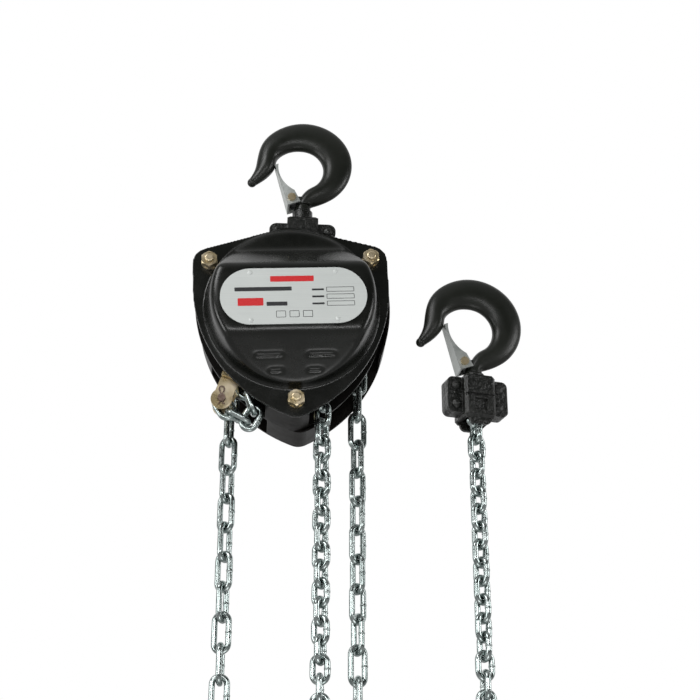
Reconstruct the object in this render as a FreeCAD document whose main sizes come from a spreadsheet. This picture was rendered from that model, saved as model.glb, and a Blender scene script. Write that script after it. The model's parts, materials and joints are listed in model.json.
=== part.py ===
"""Hand chain hoist of the half tonne class, hung from its top hook, as separate named pieces.

Millimetres, +Z up, the gear cover faces -Y. The origin is the seat of the top hook's bowl, on the
axis of its shank. The frame hangs on the suspension pin and leans by hang_tilt, because its weight
lies beside that pin. Frame pieces are modelled upright, with X from the line of the stay bolts and
Z from the drive axis, and are then laid into place by one placement.
"""
import FreeCAD, Part
import Sketcher
import math
import os
from FreeCAD import Placement, Rotation, Vector

SIZES = {
    "Chains": dict(
        load_wire=5.0, load_pitch=15.0, load_link_width=16.8,
        hand_wire=5.0, hand_pitch=25.0, hand_link_width=17.0,
        link_play=0.2, load_pockets=5, hand_pockets=7, load_links=51, hand_links=32,
        pocket_play=0.6, pocket_end_play=1.4, twist_links=4, upright_share=0.9995,
        load_twist=36.0, hand_twist=36.0),
    "Hooks": dict(
        bowl_radius=21.0, bowl_offset=3.0, bowl_opening=3.0, back_radius=43.0, back_offset=0.9,
        back_drop=14.4, hook_inner_width=18.0, hook_outer_width=12.0, tip_reach=45.5, tip_drop=35.0,
        tip_radius=4.1, tip_inset=0.3, tip_turn=228.0, tip_ease=7.0, neck_radius=6.8, neck_shift=1.0,
        neck_drop=57.5,
        lug_half=4.4,
        shank_radius=5.2, collar_height=4.6, collar_radius=7.0, top_washer_height=10.4,
        load_washer_height=4.4, washer_radius=8.9, washer_bevel=1.2,
        lip_height=6.3, head_radius=9.0, head_height=6.0,
        latch_pin_offset=9.9, latch_pin_drop=53.5, latch_length=38.5, latch_width=18.0,
        latch_tip_width=10.0, latch_depth=12.0, latch_tip_depth=5.0, latch_lean=20.0,
        latch_sheet=1.5, latch_scoop=30.0, latch_waist=3.1, latch_waist_rise=26.0, latch_pin_radius=2.2, latch_head_radius=3.6, latch_head_height=1.6,
        spring_wire=1.1, spring_width=1.5, spring_leg=1.5),
    "Yoke": dict(
        yoke_thickness=13.4, yoke_split=0.3, yoke_top_drop=74.0, wing_top_drop=80.0, yoke_wing=29.0,
        yoke_core=13.5, rivet_row_drop=87.0, yoke_rivet_span=44.0, wing_thickness=9.0,
        wing_low_drop=95.0, wing_round=6.5, yoke_chamfer=2.6, pin_drop=105.0, yoke_end_radius=13.0,
        shank_play=0.3, head_play=0.4,
        rivet_radius=3.0, rivet_head_radius=4.4, rivet_head_height=2.4),
    "Frame": dict(
        hang_tilt=3.05, pin_offset=11.2, pin_rise=75.7, pin_radius=6.0, pin_head_radius=8.0,
        pin_head_height=1.4, drive_offset=4.0, stay_span=138.0, stay_rise=58.4, stay_fall=69.9,
        corner_radius=14.5, gable_angle=15.8, apex_radius=30.0, side_rise=35.0, frame_gap=28.0,
        plate_thickness=3.0, plate_inset=1.0, stay_shoulder_radius=6.0, stay_radius=4.0,
        stay_end=2.2, stay_round=1.5, nut_flats=13.0, nut_height=6.5, lock_washer_radius=6.9,
        lock_washer_height=1.8, bolt_play=0.25, guard_left=25.0, guard_right=11.0, guard_sheet=2.5,
        guard_top_drop=50.0),
    "Gear_cover": dict(
        cover_sheet=2.0, step_gap=1.5, step_rise=14.5, step_height=3.0, step_fillet=2.2,
        dome_depth=33.0, dome_step=1.0, dome_draft=4.0, dome_top=71.0, dome_face_top=40.0,
        crease_fall=20.6, slope_foot_fall=59.0, slope_foot_depth=5.5, dome_fillet=7.0,
        louvre_length=25.0, louvre_offset=21.5, louvre_fall=38.0, louvre_height=5.0,
        louvre_depth=1.6, short_louvre_length=14.0, short_louvre_offset=16.0, short_louvre_fall=48.6,
        plate_width=121.0, plate_height=51.0, plate_sheet=0.8, plate_rise=9.4,
        plate_rivet_span=71.0, plate_rivet_rise=43.4, plate_rivet_radius=1.5,
        plate_rivet_head=2.2, plate_rivet_height=0.8),
    "Wheel_cover": dict(
        wheel_cover_depth=36.0, wheel_cover_sheet=2.0, nose_half_width=27.0, slot_outer=73.0,
        slot_top_fall=14.0, spacer_radius=6.0, cover_hub_radius=16.0, cover_hub_height=2.0),
    "Drive": dict(
        sheave_half_width=12.5, sheave_rim=3.4, bearing_outer=17.0, bearing_flange=1.0,
        journal_radius=12.0, journal_play=0.15, sheave_bore=6.8, spline_radius=9.5,
        shaft_radius=6.2, shaft_front=4.0, thread_radius=5.5, hand_wheel_plane=36.0,
        hand_wheel_half_width=11.0, hand_wheel_rim=3.2, hand_rim_wall=3.0, hand_web=4.0,
        hand_hub_radius=13.0, brake_radius=27.0, brake_bore=8.0, hub_flange=4.0, brake_start=1.3,
        lining=2.4, ratchet_width=5.0, ratchet_radius=30.0, ratchet_root=26.6, ratchet_teeth=16,
        castle_nut_flats=15.0, castle_nut_height=5.0, split_wire=1.6),
    "Gears": dict(
        drive_module=1.0, drive_teeth=10, wheel_teeth=50, load_module=1.5, pinion_teeth=12,
        load_teeth=28, gear_angle=20.0, load_gear_width=7.0, wheel_width=6.0, gear_gap=3.6,
        gear_start=2.5, layshaft_radius=4.0, layshaft_end=3.0, ring_width=1.5, ring_depth=1.6,
        ring_land=1.0),
    "Pawls": dict(
        pawl_pin_radius=2.5, pawl_pin_reach=36.4, pawl_boss=4.6, pawl_nose=1.4, pawl_play=0.5),
    "Guides": dict(
        roller_radius=5.0, roller_play=0.9, roller_pin_radius=2.2, roller_bore_play=0.2,
        roller_half_width=12.8, stripper_width=4.4, stripper_nose_fall=18.5, stripper_fall=47.0,
        stripper_bar=9.0, stripper_nose_width=15.0),
    "Anchor": dict(
        anchor_pin_radius=3.25, anchor_cheek=2.6, anchor_cheek_gap=6.6, anchor_end_radius=7.8,
        anchor_base_across=48.0, anchor_base_fall=33.0, anchor_base_length=14.0,
        anchor_washer_radius=9.0, anchor_washer_height=1.4, anchor_pin_end=3.4, split_eye=3.0),
    "Load_block": dict(
        load_hook_across=147.6, load_hook_fall=154.0, block_yaw=14.0, load_hook_yaw=6.0,
        block_top=66.0, block_bottom=105.0, block_wing=27.0, block_core=14.0, block_core_depth=14.0,
        block_wing_depth=7.0, block_split=0.3, block_rivet_span=38.0, block_rivet_top=75.7,
        block_rivet_low=92.4, chain_pin_fall=93.4, chain_pin_radius=3.2, chain_slot_width=19.0,
        chain_slot_depth=7.0, block_corner=5.0, ridge_fall=84.0, ridge_height=2.4, ridge_depth=1.5,
        pin_recess_width=12.0, pin_recess_height=10.5, pin_recess_depth=2.0, ear_reach=5.0,
        ear_width=20.0, link_room=0.8),
    "General": dict(overrun=2.0, fit=0.1, run_gap=0.3),
}

doc = FreeCAD.newDocument("hand_chain_hoist")
sheet = doc.addObject("Spreadsheet::Sheet", "Sizes")
row = 1
for group, entries in SIZES.items():
    sheet.set(f"A{row}", group.replace("_", " "))
    row += 1
    for alias, number in entries.items():
        sheet.set(f"A{row}", alias.replace("_", " "))
        sheet.set(f"B{row}", str(number))
        sheet.setAlias(f"B{row}", alias)
        row += 1
doc.recompute()


class Reader:
    """Gives the sheet's numbers by their alias."""

    def __getattr__(self, alias):
        return float(sheet.get(alias))


s = Reader()
made = []
TRIALS = 8
X, Y, Z = Vector(1, 0, 0), Vector(0, 1, 0), Vector(0, 0, 1)


# Places that several pieces share

def hung(x, z, y=0.0):
    """Turns a place on the upright frame into its place on the hung hoist."""
    return frame_place.multVec(Vector(x, y, z))


def on_frame(point):
    """Turns a place on the hung hoist into its place on the upright frame."""
    return frame_place.inverse().multVec(point)


def heading(degrees):
    return Vector(math.cos(math.radians(degrees)), 0, math.sin(math.radians(degrees)))


pin_point = Vector(0, 0, -s.pin_drop)
frame_place = (Placement(pin_point, Rotation(Y, -s.hang_tilt))
               * Placement(Vector(-s.pin_offset, 0, -s.pin_rise), Rotation()))
drive_point = hung(s.drive_offset, 0)
plate_inner = s.frame_gap / 2
plate_outer = plate_inner + s.plate_thickness
flange_face = plate_outer + s.cover_sheet
dome_face = flange_face + s.dome_depth
cover_back = plate_outer + s.wheel_cover_depth
stays = [(-s.stay_span / 2, s.stay_rise), (s.stay_span / 2, s.stay_rise), (0, -s.stay_fall)]


# Ways of making a piece

def add(label, shape, place=None):
    """A piece whose form comes from Part's own functions."""
    feature = doc.addObject("Part::Feature", label)
    feature.Label = label
    feature.Shape = shape
    if place:
        feature.Placement = place
    made.append(feature)
    return feature


def rod(radius, front, back, x=0.0, z=0.0):
    """A round bar along Y, from its front end to its back end."""
    return Part.makeCylinder(radius, back - front, Vector(x, front, z), Y)


def slab(x0, x1, y0, y1, z0, z1):
    return Part.makeBox(x1 - x0, y1 - y0, z1 - z0, Vector(x0, y0, z0))


def ring(outer, inner, front, back, x=0.0, z=0.0):
    return rod(outer, front, back, x, z).cut(rod(inner, front - s.overrun, back + s.overrun, x, z))


def extrude(outline, front, back):
    """A flat outline, drawn in X and Z, given its thickness along Y."""
    face = Part.Face(Part.Wire([curve.toShape() for curve in outline]))
    face.rotate(Vector(), X, 90)
    face.translate(Vector(0, front, 0))
    return face.extrude(Vector(0, back - front, 0))


def arc(x, z, radius, start, end):
    circle = Part.Circle(Vector(x, z, 0), Z, radius)
    return Part.ArcOfCircle(circle, math.radians(start), math.radians(end))


def line(start, end):
    return Part.LineSegment(Vector(*start, 0), Vector(*end, 0))


def polygon(points):
    return [line(a, b) for a, b in zip(points, points[1:] + points[:1])]


def sketched(label, outline, front, thickness, circles=(), place=None):
    """A body with one sketch on its XZ plane, padded by a length from the sheet.

    circles holds x, z and the sheet's expression for the radius of each round hole.
    """
    body = doc.addObject("PartDesign::Body", label)
    body.Label = label
    plane = next(item for item in body.Origin.OriginFeatures if item.Role == "XZ_Plane")
    sketch = body.newObject("Sketcher::SketchObject", label + "_outline")
    sketch.AttachmentSupport = (plane, [""])
    sketch.MapMode = "FlatFace"
    sketch.AttachmentOffset = Placement(Vector(0, 0, -front), Rotation())
    for curve in outline:
        sketch.addGeometry(curve)
    for x, z, radius in circles:
        number = sketch.addGeometry(Part.Circle(Vector(x, z, 0), Z, s.fit))
        constraint = sketch.addConstraint(Sketcher.Constraint("Radius", number, s.fit))
        sketch.setExpression(f"Constraints[{constraint}]", radius)
    pad = body.newObject("PartDesign::Pad", label + "_pad")
    pad.Profile = sketch
    pad.Reversed = True
    pad.setExpression("Length", thickness)
    if place:
        body.Placement = place
    made.append(body)
    return body


def loft(sections, ruled=False):
    return Part.makeLoft(sections, True, ruled)


def hexagon(flats, x=0.0, z=0.0):
    reach = flats / math.sqrt(3)
    turns = [math.radians(60 * side) for side in range(6)]
    return polygon([(x + reach * math.sin(turn), z + reach * math.cos(turn)) for turn in turns])


def domed_rivet(front, back, x, z, radius, head_radius, head_height):
    """A rivet along Y with a round head at its front end and at its back end."""
    ball_radius = (head_radius ** 2 + head_height ** 2) / (2 * head_height)
    sink = ball_radius - head_height
    solid = rod(radius, front - s.fit, back + s.fit, x, z)
    for face, side in ((front, -1), (back, 1)):
        ball = Part.makeSphere(ball_radius, Vector(x, face - side * sink, z))
        near = face - head_height if side < 0 else face
        cap = slab(x - head_radius, x + head_radius, near, near + head_height,
                   z - head_radius, z + head_radius)
        solid = solid.fuse(ball.common(cap))
    return solid.removeSplitter()


def group(label, solids, place=None):
    return add(label, Part.makeCompound(solids), place)


# Chain links, and the places of a row of links along a route of pivots

def link_solid(pitch, wire, width):
    """One round-wire link, long along X and flat in the plane of X and Y."""
    bend = (width - wire) / 2
    half = (pitch + s.link_play) / 2 + wire / 2 - bend
    pieces = []
    for side in (-1, 1):
        pieces.append(Part.makeCylinder(wire / 2, 2 * half, Vector(-half, side * bend, 0), X))
        circle = Part.Circle(Vector(side * half, -bend, 0), X, wire / 2)
        end = Part.Face(Part.Wire([circle.toShape()]))
        pieces.append(end.revolve(Vector(side * half, 0, 0), Z * side, 180))
    return pieces[0].multiFuse(pieces[1:]).removeSplitter()


def links_along(link, places, flat_first, middle=0.0, last=0.0):
    """Links from place to place, flat and standing in turn.

    Each upright stretch of the strand twists to middle degrees over a few links and back again, or on to
    last degrees at the strand's end. Bends aren't twisted.
    """
    solids = []
    count = len(places) - 1
    upright = [abs((places[number + 1] - places[number]).normalize().z) > s.upright_share
               for number in range(count)]
    for number in range(count):
        start, end = places[number], places[number + 1]
        along = (end - start).normalize()
        flat = Rotation(along, Vector(), Y, "XZY")
        before = (upright[:number + 1][::-1] + [False]).index(False) - 1
        after = (upright[number:] + [False]).index(False) - 1
        final = last if number + after == count - 1 else 0
        twist = 0
        if upright[number]:
            twist = (middle * min(1, before / s.twist_links)
                     + (final - middle) * (1 - min(1, after / s.twist_links)))
        quarter = (90 if (number % 2 == 0) == flat_first else 0) + twist
        place = Placement((start + end) / 2, Rotation(along, quarter) * flat)
        solids.append(link.transformed(place.toMatrix()))
    return solids


class Chain:
    """A chain's distances between the places where its links hold each other.

    Each place is the middle of a flat link's end bar. The next standing link can turn about it, so a
    flat link reaches from bar to bar, and a standing link takes up the rest of two pitches.
    """

    def __init__(self, pitch, wire, width, pockets):
        self.pitch, self.wire, self.width, self.pockets = pitch, wire, width, pockets
        self.inner_half = (pitch + s.link_play) / 2
        self.flat = 2 * self.inner_half + wire
        self.standing = 2 * pitch - self.flat
        share = math.pi / pockets
        both = self.flat ** 2 + self.standing ** 2 + 2 * self.flat * self.standing * math.cos(share)
        self.wheel_radius = math.sqrt(both) / (2 * math.sin(share))
        self.flat_half_turn = math.asin(self.flat / 2 / self.wheel_radius)
        self.flat_radius = self.wheel_radius * math.cos(self.flat_half_turn)
        self.standing_radius = self.wheel_radius * math.cos(share - self.flat_half_turn)

    def steps(self, count, flat_first):
        return [self.flat if (number % 2 == 0) == flat_first else self.standing for number in range(count)]

    def over_wheel(self, centre):
        """Places over the upper half of the wheel, from its right to its left."""
        half = math.degrees(self.flat_half_turn)
        pocket = 360.0 / self.pockets
        turns = [pocket * number + side * half for number in range((int(self.pockets) + 1) // 2)
                 for side in (-1, 1)]
        turns.append(turns[-2] + pocket)
        return [centre + heading(turn) * self.wheel_radius for turn in turns]


def loop_places(start, end, steps):
    """Places down from start, round a half circle and up to end, each a step from the one before."""
    radius = abs(end.x - start.x) / 2
    side = 1 if end.x > start.x else -1
    bend = math.pi * radius

    def place(way, straight):
        if way <= straight:
            return start - Z * way
        if way <= straight + bend:
            angle = (way - straight) / radius
            return Vector(start.x + side * radius * (1 - math.cos(angle)), start.y,
                          start.z - straight - radius * math.sin(angle))
        return Vector(end.x, start.y, start.z - straight + (way - straight - bend))

    straight = (sum(steps) - bend - (end.z - start.z)) / 2
    for trial in range(TRIALS):
        way = 0
        places = [start]
        for step in steps:
            way += step
            for refinement in range(TRIALS):
                way += step - (place(way, straight) - places[-1]).Length
            places.append(place(way, straight))
        straight += (places[-1].z - end.z) / 2
    return places


load = Chain(s.load_pitch, s.load_wire, s.load_link_width, s.load_pockets)
hand = Chain(s.hand_pitch, s.hand_wire, s.hand_link_width, s.hand_pockets)


# Top and load hook: the same forging, collar, washer, latch, latch pin and spring

def hook_section(middle, outward, depth, inner_width, outer_width):
    """A closed rounded wire across the hook, wide at its inner line and narrow at its outer line."""
    points = []
    for turn in range(0, 361, 30):
        along = -math.cos(math.radians(turn)) / 2
        width = inner_width * (0.5 - along) + outer_width * (0.5 + along)
        points.append(middle + outward * along * depth + Y * math.sin(math.radians(turn)) * width / 2)
    curve = Part.BSplineCurve()
    curve.interpolate(points)
    return Part.Wire([curve.toShape()])


def curve_point(points, share):
    """A point of the Bezier curve through four control points."""
    while len(points) > 1:
        points = [a + (b - a) * share for a, b in zip(points, points[1:])]
    return points[0]


def hook_solid(top, washer_height):
    """The forged hook with its bowl, blunt tip, neck, collar, shank and the head in the yoke."""
    inner = Vector(-s.bowl_offset, 0, -s.bowl_radius)
    outer = Vector(s.back_offset, 0, -s.back_drop)
    neck = Vector(0, 0, -s.neck_drop)
    sections = [hook_section(neck + X * s.neck_shift, X, 2 * s.neck_radius, 2 * s.neck_radius, 2 * s.neck_radius)]
    for angle in (-52, -25, 5, 35, 65, 95, 125, 155, 182):
        opening = s.bowl_opening * max(0, angle - 95) / (182 - 95)
        near = inner + heading(angle) * (s.bowl_radius + opening)
        across = outer + heading(angle) * s.back_radius - near
        depth = across.Length
        middle = near + across / 2
        across.normalize()
        sections.append(hook_section(middle, across, depth, s.hook_inner_width, s.hook_outer_width))
    tip = Vector(-s.tip_reach, 0, -s.tip_drop)
    along = Vector(-across.z, 0, across.x)
    route = [middle, middle + along * s.tip_ease, tip - heading(s.tip_turn) * s.tip_ease, tip]
    for share in (0.3, 0.6, 0.85, 1.0):
        point = curve_point(route, share)
        way = (curve_point(route, share + s.fit) - curve_point(route, share - s.fit)).normalize()
        size, inner_width, outer_width = [
            whole + (2 * (s.tip_radius - s.tip_inset) - whole) * share
            for whole in (depth, s.hook_inner_width, s.hook_outer_width)]
        sections.append(hook_section(point, Vector(way.z, 0, -way.x), size, inner_width, outer_width))
    solid = loft(sections)
    ball = Part.makeSphere(s.tip_radius, tip)
    head_top = top + s.lip_height + s.head_play
    seat = top - s.fit - washer_height
    shank = Part.makeCylinder(s.shank_radius, head_top - s.neck_drop + s.overrun, neck + Z * s.overrun, -Z)
    collar = Part.makeCylinder(s.collar_radius, s.collar_height, Z * -(seat - s.collar_height), -Z)
    head = Part.makeCylinder(s.head_radius, s.head_height, Z * -head_top, -Z)
    lug_low = -s.latch_pin_drop - s.latch_head_radius
    lug_high = -s.latch_pin_drop + s.latch_head_radius
    ears = rod(s.latch_head_radius, -s.lug_half, s.lug_half, -s.latch_pin_offset, -s.latch_pin_drop)
    lug = slab(-s.latch_pin_offset, 0, -s.lug_half, s.lug_half, lug_low, lug_high)
    hole = rod(s.latch_pin_radius + s.fit, -s.latch_width, s.latch_width, -s.latch_pin_offset,
               -s.latch_pin_drop)
    return solid.multiFuse([ball, shank, collar, head, ears, lug]).cut(hole)


def latch_solid():
    """The sheet latch, a channel that narrows from its pin to its tip, drawn upright on its pin."""
    def block(width, tip_width, depth, tip_depth, low, high, back):
        near = Part.makePolygon([Vector(back - depth, -width / 2, low), Vector(back, -width / 2, low),
                                 Vector(back, width / 2, low), Vector(back - depth, width / 2, low),
                                 Vector(back - depth, -width / 2, low)])
        far = Part.makePolygon([Vector(-tip_depth / 2, -tip_width / 2, high),
                                Vector(tip_depth / 2, -tip_width / 2, high),
                                Vector(tip_depth / 2, tip_width / 2, high),
                                Vector(-tip_depth / 2, tip_width / 2, high),
                                Vector(-tip_depth / 2, -tip_width / 2, high)])
        return loft([near, far], True)
    back = s.latch_depth / 2
    low = -back
    outer = block(s.latch_width, s.latch_tip_width, s.latch_depth, s.latch_tip_depth, low,
                  s.latch_length, back)
    inner = block(s.latch_width - 2 * s.latch_sheet, s.latch_tip_width - 2 * s.latch_sheet,
                  s.latch_depth, s.latch_tip_depth, low - s.overrun, s.latch_length, back)
    inner.translate(Vector(s.latch_sheet, 0, -s.overrun))
    hole = rod(s.latch_pin_radius + s.fit, -s.latch_width, s.latch_width)
    scoop = rod(s.latch_scoop, -s.latch_width, s.latch_width,
                s.latch_scoop + s.latch_waist - s.latch_tip_depth, s.latch_waist_rise)
    return outer.cut(inner).cut(hole).cut(scoop)


def latch_pin_solid():
    half = s.latch_width / 2
    pin = rod(s.latch_pin_radius, -half, half)
    heads = [rod(s.latch_head_radius, -half - s.latch_head_height, -half),
             rod(s.latch_head_radius, half, half + s.latch_head_height)]
    return pin.multiFuse(heads)


def latch_spring_solid():
    """The spring beside the lug, as a sleeve round the pin with the leg that lifts the latch."""
    inside = s.latch_pin_radius + s.fit
    start = s.lug_half + s.fit
    coil = ring(inside + s.spring_wire, inside, start, start + s.spring_width)
    leg = Part.makeCylinder(s.spring_wire / 2, s.latch_length / 4 - inside,
                            Vector(-s.spring_leg, start + s.spring_wire / 2, inside), Z)
    return coil.fuse(leg)


def washer_solid(top, height):
    foot = Z * -(top - s.fit)
    washer = Part.makeCylinder(s.washer_radius, height - s.washer_bevel, foot, Z)
    washer = washer.fuse(Part.makeCone(s.washer_radius, s.washer_radius - s.washer_bevel, s.washer_bevel,
                                       foot + Z * (height - s.washer_bevel), Z))
    return washer.cut(Part.makeCylinder(s.shank_radius + s.fit, s.pin_drop, Vector(), -Z))


def hook_set(prefix, place, top, washer_height):
    """The pieces of one hook over a yoke that starts at top, drawn on the top hook's place."""
    pin_place = place * Placement(Vector(-s.latch_pin_offset, 0, -s.latch_pin_drop), Rotation())
    lean = Placement(Vector(), Rotation(Y, -s.latch_lean))
    add(f"{prefix}_hook", hook_solid(top, washer_height), place)
    add(f"{prefix}_hook_washer", washer_solid(top, washer_height), place)
    add(f"{prefix}_hook_latch", latch_solid(), pin_place * lean)
    add(f"{prefix}_latch_pin", latch_pin_solid(), pin_place)
    add(f"{prefix}_latch_spring", latch_spring_solid(), pin_place * lean)


hook_set("top", Placement(), s.yoke_top_drop, s.top_washer_height)


# Top yoke: two forged halves round the shank head, riveted, and hung on the suspension pin

def shank_room(top):
    """The bore for the shank and the round room for its head, in a yoke that starts at top."""
    bore = Part.makeCylinder(s.shank_radius + s.shank_play, s.lip_height + 2 * s.overrun,
                             Z * -(top - s.overrun), -Z)
    room = Part.makeCylinder(s.head_radius + s.head_play, s.head_height + 2 * s.head_play,
                             Z * -(top + s.lip_height), -Z)
    return bore.fuse(room)


def across_edges(solid, length):
    """The edges that run along Y for more than length."""
    return [edge for edge in solid.Edges if edge.BoundBox.YLength > length]


def yoke_whole():
    half = s.yoke_thickness
    core = slab(-s.yoke_core, s.yoke_core, -half, half, -s.pin_drop, -s.yoke_top_drop)
    core = core.makeChamfer(s.yoke_chamfer, [edge for edge in core.Edges
                                             if edge.BoundBox.ZMin > -s.yoke_top_drop - s.fit])
    end = rod(s.yoke_end_radius, -half, half, 0, -s.pin_drop)
    wings = slab(-s.yoke_wing, s.yoke_wing, -s.wing_thickness, s.wing_thickness,
                 -s.wing_low_drop, -s.wing_top_drop)
    wings = wings.makeFillet(s.wing_round, across_edges(wings, s.wing_thickness))
    whole = core.multiFuse([end, wings]).removeSplitter()
    whole = whole.cut(rod(s.pin_radius + s.run_gap, -2 * half, 2 * half, 0, -s.pin_drop))
    for side in (-1, 1):
        whole = whole.cut(rod(s.rivet_radius + s.fit, -2 * half, 2 * half,
                              side * s.yoke_rivet_span / 2, -s.rivet_row_drop))
    return whole.cut(shank_room(s.yoke_top_drop))


def halves(whole, depth, split, reach, low, high):
    """The front and the rear half of a casting that is split down its middle."""
    front = slab(-reach, reach, -depth - s.overrun, -split / 2, low, high)
    rear = slab(-reach, reach, split / 2, depth + s.overrun, low, high)
    return whole.common(front), whole.common(rear)


front_half, rear_half = halves(yoke_whole(), s.yoke_thickness, s.yoke_split,
                               2 * s.yoke_wing, -2 * s.pin_drop, s.overrun)
add("top_yoke_front", front_half)
add("top_yoke_rear", rear_half)
group("top_yoke_rivets", [domed_rivet(-s.wing_thickness, s.wing_thickness, side * s.yoke_rivet_span / 2,
                                      -s.rivet_row_drop, s.rivet_radius, s.rivet_head_radius,
                                      s.rivet_head_height) for side in (-1, 1)])


# Frame: two side plates on three stay bolts

def shield(inset=0.0, shift=0.0):
    """The outline of plates and covers: a low gable, straight shoulders, round sides and a tip."""
    half = s.stay_span / 2
    low = -s.stay_fall
    corner = s.corner_radius - inset
    depth = s.side_rise - low
    wide = half + s.corner_radius
    side = (wide ** 2 + depth ** 2 - s.corner_radius ** 2) / (2 * half)
    side_x = wide - side
    foot = math.degrees(math.atan2(low - s.side_rise, -side_x))
    side -= inset
    slope = math.radians(s.gable_angle)
    reach = (half * math.sin(slope) + s.stay_rise * math.cos(slope)) + corner
    apex_z = (reach - s.apex_radius) / math.cos(slope)
    corner_end = (half + corner * math.sin(slope), s.stay_rise + corner * math.cos(slope))
    apex_start = (s.apex_radius * math.sin(slope), apex_z + s.apex_radius * math.cos(slope))
    edge = half + corner
    right = [arc(side_x + shift, s.side_rise, side, foot, 0),
             line((edge + shift, s.side_rise), (edge + shift, s.stay_rise)),
             arc(half + shift, s.stay_rise, corner, 0, 90 - s.gable_angle),
             line((corner_end[0] + shift, corner_end[1]), (apex_start[0] + shift, apex_start[1]))]
    left = [line((shift - apex_start[0], apex_start[1]), (shift - corner_end[0], corner_end[1])),
            arc(shift - half, s.stay_rise, corner, 90 + s.gable_angle, 180),
            line((shift - edge, s.stay_rise), (shift - edge, s.side_rise)),
            arc(shift - side_x, s.side_rise, side, 180, 180 - foot)]
    apex = arc(shift, apex_z, s.apex_radius, 90 - s.gable_angle, 90 + s.gable_angle)
    tip = arc(shift, low, corner, 180 - foot, 360 + foot)
    return right + [apex] + left + [tip]


def stay_holes(radius):
    return [(x, z, radius) for x, z in stays]


pin_hole = (s.pin_offset, s.pin_rise, "Sizes.pin_radius + Sizes.fit")
bearing_hole = (s.drive_offset, 0, "Sizes.bearing_outer + Sizes.fit")
bolt_holes = stay_holes("Sizes.stay_radius + Sizes.bolt_play")
gear_reach = s.drive_module * (s.drive_teeth + s.wheel_teeth) / 2
layshafts = []
for side in (-1, 1):
    angle = math.radians(s.gear_angle)
    layshafts.append((s.drive_offset + side * gear_reach * math.cos(angle), gear_reach * math.sin(angle)))
layshaft_holes = [(x, z, "Sizes.layshaft_radius + Sizes.fit") for x, z in layshafts]
pawl_turns = (35.0, 215.0)
pawl_places = [Vector(s.drive_offset, 0, 0) + heading(turn) * s.pawl_pin_reach for turn in pawl_turns]
pawl_holes = [(place.x, place.z, "Sizes.pawl_pin_radius + Sizes.fit") for place in pawl_places]
roller_reach = load.standing_radius + s.load_link_width / 2 + s.roller_play + s.roller_radius
roller_places = [(s.drive_offset + side * roller_reach, 0) for side in (-1, 1)]
roller_holes = [(x, z, "Sizes.roller_pin_radius + Sizes.fit") for x, z in roller_places]

sketched("side_plate_front", shield(s.plate_inset), -plate_outer, "Sizes.plate_thickness",
         [pin_hole, bearing_hole] + bolt_holes + layshaft_holes + roller_holes, frame_place)
sketched("side_plate_rear", shield(s.plate_inset), plate_inner, "Sizes.plate_thickness",
         [pin_hole, bearing_hole] + bolt_holes + pawl_holes + roller_holes, frame_place)

suspension_pin = rod(s.pin_radius, -plate_outer, plate_outer, s.pin_offset, s.pin_rise)
pin_head = rod(s.pin_head_radius, plate_outer, plate_outer + s.pin_head_height, s.pin_offset, s.pin_rise)
add("suspension_pin", suspension_pin.fuse(pin_head), frame_place)

nut_front = -flange_face - s.lock_washer_height
bolts = []
front_nuts = []
rear_nuts = []
washers = []
spacers = []
for x, z in stays:
    shoulder = rod(s.stay_shoulder_radius, -plate_inner, plate_inner, x, z)
    shank = rod(s.stay_radius, nut_front - s.nut_height - s.stay_end, cover_back + s.nut_height + s.stay_end,
                x, z)
    shank = shank.makeFillet(s.stay_round, [edge for edge in shank.Edges if edge.Closed])
    bolts.append(shoulder.fuse(shank))
    thread = rod(s.stay_radius + s.fit, nut_front - 2 * s.nut_height, cover_back + 2 * s.nut_height, x, z)
    for nuts, face in ((front_nuts, nut_front - s.nut_height), (rear_nuts, cover_back)):
        prism = extrude(hexagon(s.nut_flats, x, z), face, face + s.nut_height)
        cone_radius = s.nut_flats / 2 + s.nut_height
        front_bevel = Part.makeCone(s.nut_flats / 2 - s.fit, cone_radius, s.nut_height, Vector(x, face, z), Y)
        back_bevel = Part.makeCone(cone_radius, s.nut_flats / 2 - s.fit, s.nut_height, Vector(x, face, z), Y)
        bevel = front_bevel if nuts is front_nuts else back_bevel
        nuts.append(prism.common(bevel).cut(thread))
    washers.append(ring(s.lock_washer_radius, s.stay_radius + s.fit, nut_front, -flange_face, x, z))
    spacers.append(ring(s.spacer_radius, s.stay_radius + s.fit, plate_outer,
                        cover_back - s.wheel_cover_sheet, x, z))
group("stay_bolts", bolts, frame_place)
group("front_nuts", front_nuts, frame_place)
group("front_lock_washers", washers, frame_place)
group("rear_nuts", rear_nuts, frame_place)
group("rear_spacers", spacers, frame_place)


# Tip guard: the bent strip that closes the gap between the side plates at the tip

band = extrude(shield(s.plate_inset), -plate_inner, plate_inner).cut(
    extrude(shield(s.plate_inset + s.guard_sheet), -plate_inner - s.overrun, plate_inner + s.overrun))
guard = band.common(slab(-s.guard_left, s.guard_right, -plate_inner, plate_inner,
                         -s.stay_span, -s.guard_top_drop))
add("tip_guard", guard, frame_place)


# Gear cover: a flange, a shallow round step, and a dome cut off above and sloped off below

step_radius = min(math.hypot(x, z - s.step_rise) for x, z in stays) - s.lock_washer_radius - s.step_gap
dome_radius = step_radius - s.dome_step


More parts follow.
